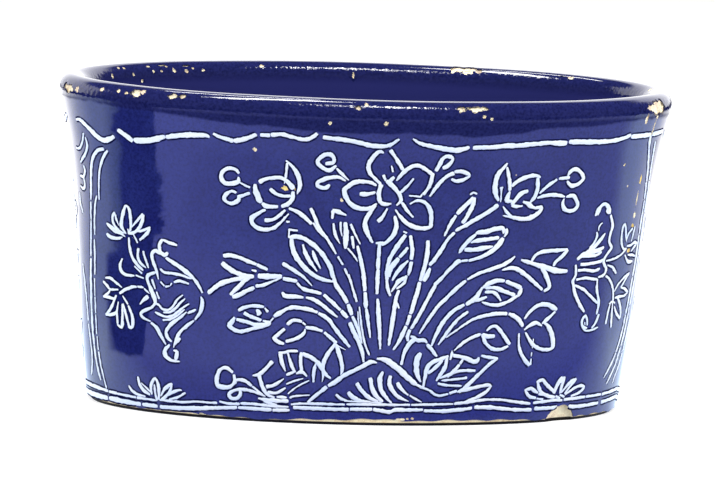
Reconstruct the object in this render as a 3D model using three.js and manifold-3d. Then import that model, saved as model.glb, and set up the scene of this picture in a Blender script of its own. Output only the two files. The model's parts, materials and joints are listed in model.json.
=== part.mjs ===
// An oval flower pot of glazed earthenware. The wall is turned round with a flaring mouth, pressed to
// an oval while the clay is soft, and set on a flat slab that is pierced for water to drain. A thick
// rolled lip closes the mouth, and a coil of clay seals the inside corner. A blue glaze coats the pot
// inside and out, but for a bare band at the foot, and has flaked off the clay in places.
// Sizes are in millimetres. The long way of the oval lies along X, and Z is up from the ground.

import * as THREE from "three";
import { mergeVertices } from "three/addons/utils/BufferGeometryUtils.js";
import Module from "manifold-3d";

// Driving dimensions, measured over the glaze
const mouthLength = 260;
const mouthDepth = 144;
const footLength = 226;
const footDepth = 110;
const potHeight = 137;
const lipRadius = 6.2;
const lipUnderAngle = -18; // degrees below level, where the lip's roll runs into the wall
const lipJointHeight = 122; // where the lip sits on the wall
const slabThickness = 8;
const footBevel = 1.2;
const coilRadius = 6;
const glazeThickness = 0.6;
const glazeToClay = 0.1;
const glazeSeam = 0.1;
const bareFootBand = 2;
const glazeEdgeWave = 0.45; // how far the poured glaze's lower edge wanders up and down
const drainHoleRadius = 6;
const drainHoleSpacing = 62;
const glazeShortOfHole = 0.6;

// The pot is turned round at this radius and then pressed. A point near the wall stays as far off the
// oval as it was off the circle, and the floor inside its rim shrinks in proportion.
const turnedRadius = 100;
const floorRimWidth = 20;

// How finely the curves are divided
const stepsRound = 64;
const lipSteps = 11;
const coilSteps = 4;
const holeSteps = 20;
const outerHeights = [slabThickness, 30, 54, 78, 98, 112, lipJointHeight];
const innerHeights = [lipJointHeight, 104, 80, 54, 32];

// Where the glaze has flaked off: degrees round the oval from +X, then either a height on the wall or
// an angle on the lip's roll, and the flake's width, its other way across, and its depth.
const flakes = [
  { round: -44.6, height: 0, width: 18.5, tall: 15, deep: 2.6 },
  { round: -169.5, lipAngle: 11, width: 7, tall: 4.6, deep: 1.5 },
  { round: -143, lipAngle: 35, width: 5.2, tall: 4, deep: 1.2 },
  { round: -133, lipAngle: 40, width: 6.4, tall: 3, deep: 1.1 },
  { round: -77.8, lipAngle: 38, width: 4.8, tall: 2.8, deep: 1.1 },
  { round: -73.6, lipAngle: 38, width: 6.6, tall: 2.8, deep: 1.1 },
  { round: -24.5, lipAngle: 16, width: 9, tall: 6.5, deep: 1.9 },
  { round: 65, lipAngle: 120, width: 10.5, tall: 6.5, deep: 1.8 },
];

const degrees = Math.PI / 180;
const flare = (mouthLength - footLength) / 2;
const clayInside = glazeThickness + glazeToClay;
const floorHeight = slabThickness + clayInside;
const coilTop = floorHeight + coilRadius;
const lipCentre = new THREE.Vector2(flare - lipRadius, potHeight - lipRadius);

// In a section, x is how far a point lies outside the foot's oval and y is its height.
const at = (x, y) => new THREE.Vector2(x, y);

// The lip's roll at an angle above level, a depth `inside` the glazed surface.
function onLip(angle, inside = 0) {
  const r = lipRadius - inside;
  return at(lipCentre.x + r * Math.cos(angle * degrees), lipCentre.y + r * Math.sin(angle * degrees));
}

// The glazed faces of the wall. The outer one leaves the foot with a slight lean, stands up straighter
// at its middle, and flares under the lip. The inner one thickens the wall towards the lip.
const outerFace = new THREE.SplineCurve([
  at(0, 0),
  at(3.7, 30),
  at(6.5, 61),
  at(9.2, 89),
  at(12.4, 110.5),
  onLip(lipUnderAngle),
]);
const innerFace = new THREE.SplineCurve([at(-7.3, 0), at(-3.3, 40), at(0.5, 75), at(3.4, 104), onLip(180)]);

// The point of a face at a height, found by halving, since a face only rises along its curve.
function atHeight(face, height, shift = 0) {
  let low = 0;
  let high = 1;
  for (let i = 0; i < 40; i++) {
    const middle = (low + high) / 2;
    if (face.getPoint(middle).y < height) low = middle;
    else high = middle;
  }
  return at(face.getPoint(low).x + shift, height);
}

// The stretches of the section, each a depth `inside` the glazed surface
const outerWall = (inside) => outerHeights.map((h) => atHeight(outerFace, h, -inside));
const innerWall = (inside) => innerHeights.map((h) => atHeight(innerFace, h, inside));

function lipArc(from, to, inside) {
  const steps = Math.ceil((Math.abs(to - from) / (180 - lipUnderAngle)) * lipSteps);
  return Array.from({ length: steps + 1 }, (_, i) => onLip(from + ((to - from) * i) / steps, inside));
}

// The hollow of the inside corner, from the wall down to the floor
function cornerArc(inside, firstStep = 0) {
  const centreX = atHeight(innerFace, coilTop).x - coilRadius;
  const points = [];
  for (let i = firstStep; i <= coilSteps; i++) {
    const a = (-90 * degrees * i) / coilSteps;
    const r = coilRadius + inside;
    points.push(at(centreX + r * Math.cos(a), coilTop + r * Math.sin(a)));
  }
  return points;
}

// Presses a turned form to the oval.
function press(geometry) {
  const p = geometry.getAttribute("position");
  const floorRadius = turnedRadius - floorRimWidth;
  for (let i = 0; i < p.count; i++) {
    const x = p.getX(i);
    const y = p.getY(i);
    const r = Math.hypot(x, y);
    if (r === 0) continue;
    const grow = r - turnedRadius;
    const half = (foot) =>
      r > floorRadius ? foot / 2 + grow : ((foot / 2 - floorRimWidth) * r) / floorRadius;
    p.setXY(i, (half(footLength) * x) / r, (half(footDepth) * y) / r);
  }
  geometry.computeVertexNormals();
  return geometry;
}

// Turns a section into a round form and presses it to the oval. The section's points run against the
// clock, and end where they began unless the form is a disc that meets the axis.
function turned(section, closed = true) {
  const points = section.map((q) => at(turnedRadius + q.x, q.y));
  if (closed) points.push(points[0].clone());
  const geometry = new THREE.LatheGeometry(points, stepsRound);
  geometry.rotateX(Math.PI / 2);
  return press(geometry);
}

const wasm = await Module();
wasm.setup();

// A closed geometry as a solid that can be cut
function solid(geometry) {
  const bare = new THREE.BufferGeometry().setAttribute("position", geometry.getAttribute("position").clone());
  bare.setIndex(geometry.index);
  const merged = mergeVertices(bare, 1e-4);
  const triangles = [];
  for (let i = 0; i < merged.index.count; i += 3) {
    const [a, b, c] = [0, 1, 2].map((k) => merged.index.getX(i + k));
    if (a !== b && b !== c && c !== a) triangles.push(a, b, c);
  }
  return new wasm.Manifold(
    new wasm.Mesh({
      numProp: 3,
      vertProperties: new Float32Array(merged.getAttribute("position").array),
      triVerts: new Uint32Array(triangles),
    }),
  );
}

function geometryOf(cut) {
  const mesh = cut.getMesh();
  const geometry = new THREE.BufferGeometry();
  geometry.setAttribute("position", new THREE.BufferAttribute(mesh.vertProperties, 3));
  geometry.setIndex(new THREE.BufferAttribute(mesh.triVerts, 1));
  geometry.computeVertexNormals();
  return geometry;
}

// The drain holes, as cylinders long enough to pass through the floor
function drills(radius) {
  return [-drainHoleSpacing, 0, drainHoleSpacing].map((x) => {
    const drill = new THREE.CylinderGeometry(radius, radius, 4 * slabThickness, holeSteps);
    drill.rotateX(Math.PI / 2);
    drill.translate(x, 0, 0);
    return solid(drill);
  });
}

// One flake's scoop: a flattened ball that lies along the surface, with its depth across it
function scoop(flake) {
  const onRoll = flake.lipAngle !== undefined;
  const q = onRoll ? onLip(flake.lipAngle) : atHeight(outerFace, flake.height);
  const tilt = (onRoll ? flake.lipAngle : 0) * degrees;
  const t = flake.round * degrees;
  const a = footLength / 2 + q.x;
  const b = footDepth / 2 + q.x;
  const along = new THREE.Vector3(-a * Math.sin(t), b * Math.cos(t), 0).normalize();
  const level = new THREE.Vector3(along.y, -along.x, 0);
  const outward = level.multiplyScalar(Math.cos(tilt)).add(new THREE.Vector3(0, 0, Math.sin(tilt)));
  const across = new THREE.Vector3().crossVectors(outward, along);
  const ball = new THREE.IcosahedronGeometry(1, 1);
  ball.scale(flake.width / 2, flake.tall / 2, flake.deep);
  ball.applyMatrix4(new THREE.Matrix4().makeBasis(along, across, outward));
  ball.translate(a * Math.cos(t), b * Math.sin(t), q.y);
  return solid(ball);
}

const scoops = flakes.map(scoop);

function cut(geometry, tools) {
  return geometryOf(tools.reduce((body, tool) => body.subtract(tool), solid(geometry)));
}

// The finishes
const clay = new THREE.MeshStandardMaterial({ color: "#d9bd8f", roughness: 0.9, metalness: 0 });
const blueGlaze = new THREE.MeshStandardMaterial({ color: "#2b2f86", roughness: 0.12, metalness: 0 });

const pot = new THREE.Group();
pot.name = "oval_flower_pot";

function add(name, geometry, material) {
  const mesh = new THREE.Mesh(geometry, material);
  mesh.name = name;
  pot.add(mesh);
}

// The slab that the pot stands on, with its edge worn round and three holes to drain it
function baseSlab() {
  const edge = (h, shift = 0) => atHeight(outerFace, h, shift - clayInside);
  const disc = turned(
    [at(-turnedRadius, 0), edge(0, -footBevel), edge(footBevel), edge(slabThickness), at(-turnedRadius, slabThickness)],
    false,
  );
  return cut(disc, [...drills(drainHoleRadius), ...scoops]);
}

// The turned wall, from the slab up to the lip
function wallRing() {
  const inside = [...innerWall(clayInside), cornerArc(clayInside)[0], atHeight(innerFace, slabThickness, clayInside)];
  return turned([...outerWall(clayInside), ...inside]);
}

// The thick roll that ends the wall and stiffens the mouth
function rimRoll() {
  const foot = atHeight(outerFace, lipJointHeight, -clayInside);
  const inside = atHeight(innerFace, lipJointHeight, clayInside);
  return cut(turned([foot, ...lipArc(lipUnderAngle, 180, clayInside), inside]), scoops);
}

// The coil pressed into the corner between the wall and the slab
function cornerCoil() {
  const hollow = cornerArc(clayInside, 1).reverse();
  const wallSide = (h) => atHeight(innerFace, h, clayInside - glazeToClay);
  return turned([...hollow.slice(0, 1), wallSide(slabThickness), wallSide(hollow.at(-1).y), ...hollow.slice(1).reverse()]);
}

// Lets the lower edge of the poured glaze wander above the bare foot.
function waver(geometry) {
  const p = geometry.getAttribute("position");
  for (let i = 0; i < p.count; i++) {
    if (p.getZ(i) > bareFootBand + 0.01) continue;
    const t = Math.atan2(p.getY(i) / footDepth, p.getX(i) / footLength);
    p.setZ(i, p.getZ(i) + glazeEdgeWave * (0.9 * Math.sin(4 * t + 0.7) + 0.6 * Math.sin(11 * t + 2)));
  }
  return geometry;
}

// The coat over the outside, from above the bare foot to the crest of the lip
function outerGlaze() {
  const crest = 90 - (glazeSeam / 2 / lipRadius) / degrees;
  const face = (inside) => [
    atHeight(outerFace, bareFootBand, -inside),
    ...outerWall(inside),
    ...lipArc(lipUnderAngle, crest, inside),
  ];
  return cut(waver(turned([...face(0), ...face(glazeThickness).reverse()])), scoops);
}

// The coat over the inside, from the crest of the lip down the wall and across the floor
function innerGlaze() {
  const crest = 90 + (glazeSeam / 2 / lipRadius) / degrees;
  const face = (inside) => [
    ...lipArc(crest, 180, inside),
    ...innerWall(inside),
    ...cornerArc(inside),
    at(-turnedRadius, floorHeight - inside),
  ];
  const cup = turned([...face(glazeThickness).reverse(), ...face(0)], false);
  return cut(cup, [...drills(drainHoleRadius + glazeShortOfHole), ...scoops]);
}

add("base_slab", baseSlab(), clay);
add("wall_ring", wallRing(), clay);
add("rim_roll", rimRoll(), clay);
add("corner_coil", cornerCoil(), clay);
add("outer_glaze", outerGlaze(), blueGlaze);
add("inner_glaze", innerGlaze(), blueGlaze);

export default pot;
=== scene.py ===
# An oval flower pot of buff earthenware under a cobalt blue glaze, painted in raised white enamel. A
# bouquet grows out of a mound on each long side, inside a frame of double lines, and a wavy line runs
# round under the lip. The long way of the oval lies along X, and Z is up from the ground.

import json
import math

import bmesh
import bpy
import numpy as np
from mathutils import Matrix, Vector, noise

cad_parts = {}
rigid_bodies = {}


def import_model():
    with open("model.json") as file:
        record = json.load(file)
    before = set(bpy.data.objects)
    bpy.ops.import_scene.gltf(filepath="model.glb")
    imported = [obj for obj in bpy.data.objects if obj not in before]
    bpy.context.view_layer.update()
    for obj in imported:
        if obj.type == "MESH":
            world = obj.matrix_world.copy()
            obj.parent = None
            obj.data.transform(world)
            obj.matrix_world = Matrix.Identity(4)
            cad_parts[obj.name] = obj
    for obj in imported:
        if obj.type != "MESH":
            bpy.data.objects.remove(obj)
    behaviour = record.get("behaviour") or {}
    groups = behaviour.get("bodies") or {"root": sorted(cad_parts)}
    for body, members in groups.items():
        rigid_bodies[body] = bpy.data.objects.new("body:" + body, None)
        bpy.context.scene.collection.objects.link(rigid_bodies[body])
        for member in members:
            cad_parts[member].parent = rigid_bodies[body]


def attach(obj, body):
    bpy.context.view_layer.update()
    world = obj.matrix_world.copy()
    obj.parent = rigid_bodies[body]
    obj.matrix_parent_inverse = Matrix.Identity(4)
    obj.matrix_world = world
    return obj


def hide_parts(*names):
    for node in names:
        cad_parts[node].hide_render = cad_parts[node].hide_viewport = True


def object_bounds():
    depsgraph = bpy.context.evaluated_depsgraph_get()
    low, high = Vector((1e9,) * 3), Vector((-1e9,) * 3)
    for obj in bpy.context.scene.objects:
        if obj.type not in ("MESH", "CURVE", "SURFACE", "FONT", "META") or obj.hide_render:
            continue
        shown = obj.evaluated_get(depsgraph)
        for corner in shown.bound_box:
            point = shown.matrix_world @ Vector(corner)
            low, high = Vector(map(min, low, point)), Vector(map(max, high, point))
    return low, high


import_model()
cad_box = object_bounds()

# Base slab. A flat bat of buff clay, cut to the oval of the foot and pierced with three drain holes
# before firing. Its underside and lowest edge are left bare of glaze, and a flake has broken off it.

# Sizes are in mm, and angles in degrees.
MM = 0.001
mouth_length = (cad_box[1][0] - cad_box[0][0]) / MM
pot_height = (cad_box[1][2] - cad_box[0][2]) / MM
foot_length = 226
foot_depth = 110
lip_radius = 6.2
lip_under_angle = -18
lip_joint_height = 122
slab_thickness = 8
foot_bevel = 1.2
coil_radius = 6
glaze_thickness = 0.6
clay_depth = 0.7
bare_foot_band = 2
drain_hole_radius = 6
drain_hole_spacing = 62
turned_radius = 100
floor_rim_width = 20
press_depth = 0.05
even_middle = 30
floor_points = 200
points_round = 384
crease_angle = 38

lip_x = (mouth_length - foot_length) / 2 - lip_radius
lip_z = pot_height - lip_radius
floor_z = slab_thickness + clay_depth
coil_top = floor_z + coil_radius


def smooth_line(points, step=0.25):
    """A line through the points with no corners, sampled at every step."""
    p = np.array(points, float)
    p = np.vstack([p[:1], p, p[-1:]])
    line = []
    for p0, p1, p2, p3 in zip(p, p[1:], p[2:], p[3:]):
        n = max(1, math.ceil(np.linalg.norm(p2 - p1) / step))
        u = (np.arange(n) / n)[:, None]
        start, end = (p2 - p0) / 2, (p3 - p1) / 2
        square = 3 * (p2 - p1) - 2 * start - end
        cube = 2 * (p1 - p2) + start + end
        line.append(p1 + start * u + square * u**2 + cube * u**3)
    return np.vstack(line + [p[-1:]])


def arc_line(x, z, radius, start, end, count=80):
    """An arc of the section from a start angle to an end angle, in degrees."""
    a = np.radians(np.linspace(start, end, count))
    return np.stack([x + radius * np.cos(a), z + radius * np.sin(a)], 1)


# The glazed section, from the foot up the outside, over the lip, down the inside and along the floor
# to its middle. Its first number is the distance outside the foot's oval, its second the height.
lip_roll = arc_line(lip_x, lip_z, lip_radius, lip_under_angle, 180)
outer_face = smooth_line([(0, 0), (3.7, 30), (6.5, 61), (9.2, 89), (12.4, 110.5), lip_roll[0]])
inner_face = smooth_line([(-7.3, 0), (-3.3, 40), (0.5, 75), (3.4, 104), lip_roll[-1]])
inner_face = inner_face[inner_face[:, 1] > coil_top][::-1]
coil_x = inner_face[-1, 0] - coil_radius
corner = arc_line(coil_x, coil_top, coil_radius, 0, -90)
floor = np.stack([np.linspace(coil_x, -turned_radius, floor_points), np.full(floor_points, floor_z)], 1)
section = np.vstack([outer_face[:-1], lip_roll, inner_face[1:], corner, floor[1:]])
along = np.concatenate([[0], np.cumsum(np.linalg.norm(np.diff(section, axis=0), axis=1))])
slope = np.gradient(section, along, axis=0)
out_of = np.stack([slope[:, 1], -slope[:, 0]], 1) / np.linalg.norm(slope, axis=1, keepdims=True)
outer_end = len(outer_face)
lip_bottom = along[outer_end - 1]
lip_inner = lip_bottom + math.radians(180 - lip_under_angle) * lip_radius
floor_edge = along[-floor_points]


def wall_at(z):
    """How far along the section a height of the outer face is."""
    return np.interp(z, section[:outer_end, 1], along[:outer_end])


def lip_at(degrees):
    """How far along the section a place on the lip's roll is, from its angle above level."""
    return lip_bottom + math.radians(degrees - lip_under_angle) * lip_radius


def inside_at(z):
    """How far along the section a height of the inner face is."""
    first = outer_end + len(lip_roll) - 1
    last = first + len(inner_face) - 1
    return np.interp(-z, -section[first:last, 1], along[first:last])


def pressed_in(turn, at):
    """How far the potter's hands have pressed the face in: three waves round the pot, which die away
    in the middle of the floor."""
    waves = np.sin(3 * turn + 0.05 * at) + np.sin(5 * turn - 0.04 * at + 1.3) + np.sin(9 * turn + 0.11 * at)
    return press_depth * (3 + waves * np.clip((along[-1] - at) / even_middle, 0, 1))


def on_pot(turn, at, depth=0.0):
    """Points at an angle round the oval, a distance along the section and a depth under its face."""
    turn, at, depth = np.broadcast_arrays(turn, at, depth)
    sunk = depth + pressed_in(turn, at)
    out = np.interp(at, along, section[:, 0]) - sunk * np.interp(at, along, out_of[:, 0])
    z = np.interp(at, along, section[:, 1]) - sunk * np.interp(at, along, out_of[:, 1])
    shrink = np.clip((turned_radius + out) / (turned_radius - floor_rim_width), 0, 1)
    off = np.maximum(out, -floor_rim_width)
    x = (foot_length / 2 + off) * shrink * np.cos(turn)
    y = (foot_depth / 2 + off) * shrink * np.sin(turn)
    return np.stack([x, y, z], -1)


def lathe(name, rings, marks):
    """A closed form through rings of points. Each ring is marked with how far along the section it is."""
    count, size = rings.shape[:2]
    corners = np.arange(count * size).reshape(count, size)
    upper = np.roll(corners, -1, 0)
    faces = np.stack([corners, np.roll(corners, -1, 1), np.roll(upper, -1, 1), upper], -1)
    mesh = bpy.data.meshes.new(name)
    mesh.from_pydata(rings.reshape(-1, 3) * MM, [], faces.reshape(-1, 4).tolist())
    mesh.attributes.new("along", "FLOAT", "POINT").data.foreach_set("value", np.repeat(marks, size))
    form = bmesh.new()
    form.from_mesh(mesh)
    bmesh.ops.remove_doubles(form, verts=form.verts, dist=1e-7)
    bmesh.ops.recalc_face_normals(form, faces=form.faces)
    form.to_mesh(mesh)
    form.free()
    return mesh


turns = np.linspace(0, 2 * math.pi, points_round, endpoint=False)

# A flake's raggedness: how deep and how fine each sort is. A wide flake is a clean shell-like break.
raggedness = ((0.45, 1.3), (0.34, 3.2), (0.20, 7.5))
wide_flake = 14
wide_flake_share = 0.15
fine_mesh_from = 8
bluntness = 0.6


def lump(centre, along_x, along_y, outward, size, seed):
    """A closed lump with ragged sides, as the tool that a flake is taken out with."""
    form = bmesh.new()
    bmesh.ops.create_icosphere(form, subdivisions=5 if size[0] > fine_mesh_from else 4, radius=1)
    share = wide_flake_share if size[0] > wide_flake else 1
    shifts = [seed * axis for axis in (Vector((1, 0, 0)), Vector((0, 1, 0)), Vector((0, 0, 1)))]
    for v in form.verts:
        ragged = 1
        for (depth, fineness), shift in zip(raggedness, shifts):
            ragged += depth * share * noise.noise(v.co * fineness + shift)
        p = v.co * ragged
        sunk = math.copysign(abs(p.z) ** bluntness, p.z)
        v.co = centre + along_x * p.x * size[0] / 2 + along_y * p.y * size[1] / 2 + outward * sunk * size[2]
        v.co *= MM
    return form


def flake(turn_degrees, at, width, tall, deep, seed):
    """The lump for a flake, laid flat on the face at an angle round the oval and a place on the section."""
    turn = math.radians(turn_degrees)
    nearby = ((0, 0), (0.001, 0), (0, 0.05))
    here, onward, upward = (Vector(on_pot(turn + dt, at + da)) for dt, da in nearby)
    along_x = (onward - here).normalized()
    along_y = (upward - here).normalized()
    outward = along_x.cross(along_y).normalized()
    return lump(here, along_x, along_y, outward, (width, tall, deep), seed)


# Each flake: degrees round the oval from +X, how far along the section, and its width, height and depth.
# A shallow one stays within the glaze. The pot's front is at -90 degrees.
shallow = 0.45
foot_flakes = [
    (-44.0, wall_at(0), 15, 14, 2.6),
    (-128, wall_at(1), 6, 2.4, 1.1),
    (24, wall_at(1), 9, 5, 1.6),
    (103, wall_at(1.5), 7, 3, 1.2),
    (160, wall_at(2), 5, 4, 1.2),
]
lip_flakes = [
    (-169.2, lip_at(11), 7.2, 4.2, 1.5),
    (-172.6, lip_at(18), 3.0, 3.4, 1.1),
    (-164, lip_at(18), 2.4, 2.2, shallow),
    (-153.8, lip_at(33), 1.8, 1.6, shallow),
    (-148.3, lip_at(35), 1.6, 1.4, shallow),
    (-145.8, lip_at(31), 1.5, 1.1, shallow),
    (-143.2, lip_at(36), 5.0, 3.8, 1.2),
    (-141.6, lip_at(43), 2.6, 2.0, shallow),
    (-133.8, lip_at(39), 4.4, 2.6, 1.1),
    (-131.6, lip_at(41), 3.8, 2.2, 1.1),
    (-95.5, lip_at(48.7), 1.5, 2.0, shallow),
    (-97, lip_at(33), 3.0, 2.4, 0.8),
    (-91.8, wall_at(127.9), 1.9, 1.7, shallow),
    (-102, wall_at(127.4), 1.3, 1.4, shallow),
    (-77.7, lip_at(38), 4.0, 3.2, 1.0),
    (-76.3, lip_at(41), 2.8, 1.4, 1.0),
    (-74.9, lip_at(37.5), 5.2, 2.8, 1.0),
    (-73.3, lip_at(39), 3.4, 1.9, 1.0),
    (-73.5, lip_at(6.5), 1.4, 1.4, shallow),
    (-72, lip_at(-2.4), 1.2, 1.2, shallow),
    (-24.4, lip_at(12.5), 8.5, 6.6, 1.4),
    (-27.9, lip_at(16), 6.5, 2.8, 1.0),
    (-22.0, lip_at(13), 5.5, 6.4, 1.6),
    (-25.2, lip_at(18), 2.6, 4.6, 1.1),
    (-24.4, lip_at(-10), 1.4, 6.0, shallow),
    (-29.8, wall_at(127.9), 1.9, 4.2, shallow),
    (63.8, lip_at(122), 6.4, 5.4, 1.7),
    (66.4, lip_at(121), 6.0, 4.4, 1.7),
    (61.4, lip_at(126), 3.4, 2.6, 1.1),
    (38, lip_at(127), 2.4, 1.7, shallow),
    (40.5, lip_at(123), 5.6, 0.6, 0.9),
    (0.2, lip_at(118), 2.0, 2.2, shallow),
    (147.5, lip_at(129), 1.4, 1.0, shallow),
    (145.5, lip_at(131), 1.4, 1.0, shallow),
    (152, lip_at(162), 1.2, 2.1, shallow),
    (143, lip_at(164), 1.0, 1.3, shallow),
    (140, inside_at(129.6), 1.4, 1.4, shallow),
    (137, lip_at(131), 1.4, 0.9, shallow),
    (136, lip_at(155), 1.0, 1.4, shallow),
    (133.5, lip_at(155), 1.0, 1.0, shallow),
    (132.5, lip_at(127), 3.4, 1.1, 0.9),
    (131.6, lip_at(135), 1.0, 0.9, shallow),
    (129.8, lip_at(153), 1.2, 2.1, shallow),
    (126.4, lip_at(158), 1.5, 1.8, shallow),
    (126, lip_at(133), 4.0, 0.9, 0.8),
    (124.5, lip_at(147), 1.0, 0.9, shallow),
    (122, lip_at(155.5), 1.3, 1.2, shallow),
    (107.8, lip_at(137.7), 2.0, 1.4, shallow),
    (88.2, lip_at(170), 0.8, 3, shallow),
    (95, lip_at(35), 6, 3, 1.2),
    (78, lip_at(12), 3, 2.5, 1.1),
    (118, lip_at(40), 2.4, 2, shallow),
    (20, lip_at(20), 5, 4, 1.3),
]


def cut_away(mesh, forms, material):
    """Takes closed forms out of a mesh. The faces that they leave get a material of their own."""
    tools = bpy.data.collections.new("tools")
    bpy.context.scene.collection.children.link(tools)
    for form in forms:
        tool_mesh = bpy.data.meshes.new("tool")
        form.to_mesh(tool_mesh)
        form.free()
        tool_mesh.materials.append(material)
        tools.objects.link(bpy.data.objects.new("tool", tool_mesh))
    body = bpy.data.objects.new("body", mesh)
    bpy.context.scene.collection.objects.link(body)
    cut = body.modifiers.new("cut", "BOOLEAN")
    cut.solver = "MANIFOLD"
    cut.material_mode = "TRANSFER"
    cut.operand_type = "COLLECTION"
    cut.collection = tools
    result = bpy.data.meshes.new_from_object(body.evaluated_get(bpy.context.evaluated_depsgraph_get()))
    for used in (body, *tools.objects):
        bpy.data.objects.remove(used)
    bpy.data.collections.remove(tools)
    return result


def add_piece(name, mesh, slot, *replaced):
    """Puts a mesh on the pot as a piece of its own, in place of the nodes that it stands for."""
    mesh.shade_smooth()
    mesh.set_sharp_from_angle(angle=math.radians(crease_angle))
    piece = bpy.data.objects.new(name, mesh)
    bpy.context.scene.collection.objects.link(piece)
    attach(piece, "root")
    if replaced:
        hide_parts(*replaced)
    return piece


def connect(tree, node, inputs):
    """Gives a node its inputs, by name or by number, each as a value or as the socket it comes from."""
    for key, value in inputs.items():
        socket = node.inputs[key.replace("_", " ") if isinstance(key, str) else key]
        if isinstance(value, bpy.types.NodeSocket):
            tree.links.new(value, socket)
        else:
            socket.default_value = value


def put(tree, kind, settings=None, at=None, **inputs):
    """Adds a shader node. Inputs are given by name, or by number in `at`."""
    new = tree.nodes.new(kind)
    for key, value in (settings or {}).items():
        setattr(new, key, value)
    connect(tree, new, inputs)
    connect(tree, new, at or {})
    return new


def work_out(tree, operation, *values):
    """A number worked out from one, two or three others."""
    return put(tree, "ShaderNodeMath", {"operation": operation}, at=dict(enumerate(values))).outputs[0]


def scaled(tree, value, start, end, low=0, high=1):
    """A number that goes from low to high as the value goes from start to end."""
    new = put(tree, "ShaderNodeMapRange", Value=value, From_Min=start, From_Max=end, To_Min=low, To_Max=high)
    return new.outputs[0]


def grain(tree, place, scale, detail, roughness, distortion=0):
    """Cloudy unevenness from 0 to 1. The scale is about how many clouds there are in a metre."""
    new = put(tree, "ShaderNodeTexNoise", Vector=place, Scale=scale, Detail=detail, Roughness=roughness,
              Distortion=distortion)
    return new.outputs["Fac"]


def mix_colour(tree, factor, first, second, blend="MIX"):
    settings = {"data_type": "RGBA", "blend_type": blend}
    return put(tree, "ShaderNodeMix", settings, at={0: factor, 6: first, 7: second}).outputs[2]


def ramp(tree, factor, *stops):
    """A colour ramp through stops, each a position and a colour."""
    new = put(tree, "ShaderNodeValToRGB", Fac=factor)
    points = new.color_ramp.elements
    while len(points) < len(stops):
        points.new(0.5)
    for point, (position, colour) in zip(points, stops):
        point.position = position
        point.color = (*colour, 1)
    return new.outputs["Color"]


def grey(value):
    return (value, value, value)


def new_finish(name):
    material = bpy.data.materials.new(name)
    material.use_nodes = True
    tree = material.node_tree
    return material, tree, tree.nodes["Principled BSDF"]


# How high the clay's grit stands and between which heights the painted contact shade at the foot ends,
# in m, and how much of a face's direction is down where the unshaded underside begins
grit_height = 0.0006
contact_shade = (0.012, 0.010, 0.008, 1)
contact_shade_edge = (0.0013, 0.0016)
facing_down = (-0.93, -0.96)


def clay_finish(name, pale, mid, deep):
    """Bare fired clay: a grained mix of a pale, a middle and a deep colour, with pores and grit. The lowest
    edge, where the pot stands, is painted dark as the shade where it meets the ground."""
    material, tree, shader = new_finish(name)
    place = put(tree, "ShaderNodeTexCoord").outputs["Object"]
    mottling = grain(tree, place, scale=170, detail=5, roughness=0.65)
    sand = grain(tree, place, scale=1400, detail=3, roughness=0.7)
    body = work_out(tree, "ADD", mottling, work_out(tree, "MULTIPLY_ADD", sand, 0.5, -0.25))
    colour = ramp(tree, body, (0.32, deep), (0.5, mid), (0.66, pale))
    grit = put(tree, "ShaderNodeBump", Height=body, Distance=grit_height, Strength=0.7).outputs["Normal"]
    up = put(tree, "ShaderNodeSeparateXYZ", Vector=place).outputs["Z"]
    facing = put(tree, "ShaderNodeNewGeometry").outputs["Normal"]
    facing_up = put(tree, "ShaderNodeSeparateXYZ", Vector=facing).outputs["Z"]
    # The lowest edge is painted near black as contact shade, except where the face looks down.
    unshaded = work_out(tree, "MAXIMUM", scaled(tree, up, *contact_shade_edge), scaled(tree, facing_up, *facing_down))
    connect(tree, shader, {
        "Base Color": mix_colour(tree, unshaded, contact_shade, colour),
        "Roughness": ramp(tree, mottling, (0.3, grey(0.75)), (0.7, grey(0.95))),
        "Specular IOR Level": 0.1,
        "Normal": grit,
    })
    return material


buff_clay = clay_finish("buff_clay", (1.0, 0.92, 0.66), (0.96, 0.82, 0.55), (0.62, 0.45, 0.26))
broken_clay = clay_finish("broken_clay", (0.95, 0.91, 0.72), (0.87, 0.79, 0.59), (0.62, 0.49, 0.38))

hole_sides = 48
hole_taper = 1.04
hole_unevenness = 0.012


def drills(radius):
    """Drain-hole cutters, a little out of round."""
    forms = []
    for i, x in enumerate((-drain_hole_spacing, 0, drain_hole_spacing)):
        form = bmesh.new()
        bmesh.ops.create_cone(form, cap_ends=True, segments=hole_sides, depth=4 * slab_thickness,
                              radius1=radius, radius2=radius * hole_taper)
        for v in form.verts:
            v.co *= 1 + hole_unevenness * math.sin(2 * math.atan2(v.co.y, v.co.x) + i)
            v.co = (v.co + Vector((x, 0, 0))) * MM
        forms.append(form)
    return forms


slab_edge_heights = (foot_bevel, 3, 5, slab_thickness)
rings_across_slab = 24


def slab_rings():
    """The slab's outline in rings, from the middle of its underside out, up its edge, and back in."""
    edge = [wall_at(z) for z in slab_edge_heights]
    outward = np.linspace(0, 1, rings_across_slab)
    under = on_pot(turns, 0, clay_depth + foot_bevel)
    rings = [under * [share, share, 0] for share in outward]
    rings += [on_pot(turns, at, clay_depth) for at in edge]
    rings += [rings[-1] * [share, share, 0] + [0, 0, slab_thickness] for share in outward[::-1]]
    marks = [0] * len(outward) + edge + [edge[-1]] * len(outward)
    return np.array(rings), marks


slab = lathe("base_slab", *slab_rings())
slab.materials.append(buff_clay)
slab = cut_away(slab, drills(drain_hole_radius), buff_clay)
slab = cut_away(slab, [flake(*f, i) for i, f in enumerate(foot_flakes)], broken_clay)
add_piece("pot_base", slab, "clay", "base_slab")

# Wall. One ring of clay, turned with a flaring mouth and pressed to an oval, and stuck down on the slab
# with slip. The coil that seals its inside corner is smoothed into it.

rings_outside = 40
rings_inside = 36
rings_on_coil = 10
corner_gap = 0.3


def layer(alongs, depth):
    """Rings of points at distances along the section and a depth under its face."""
    return on_pot(turns[None, :], np.array(alongs)[:, None], depth)


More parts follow.
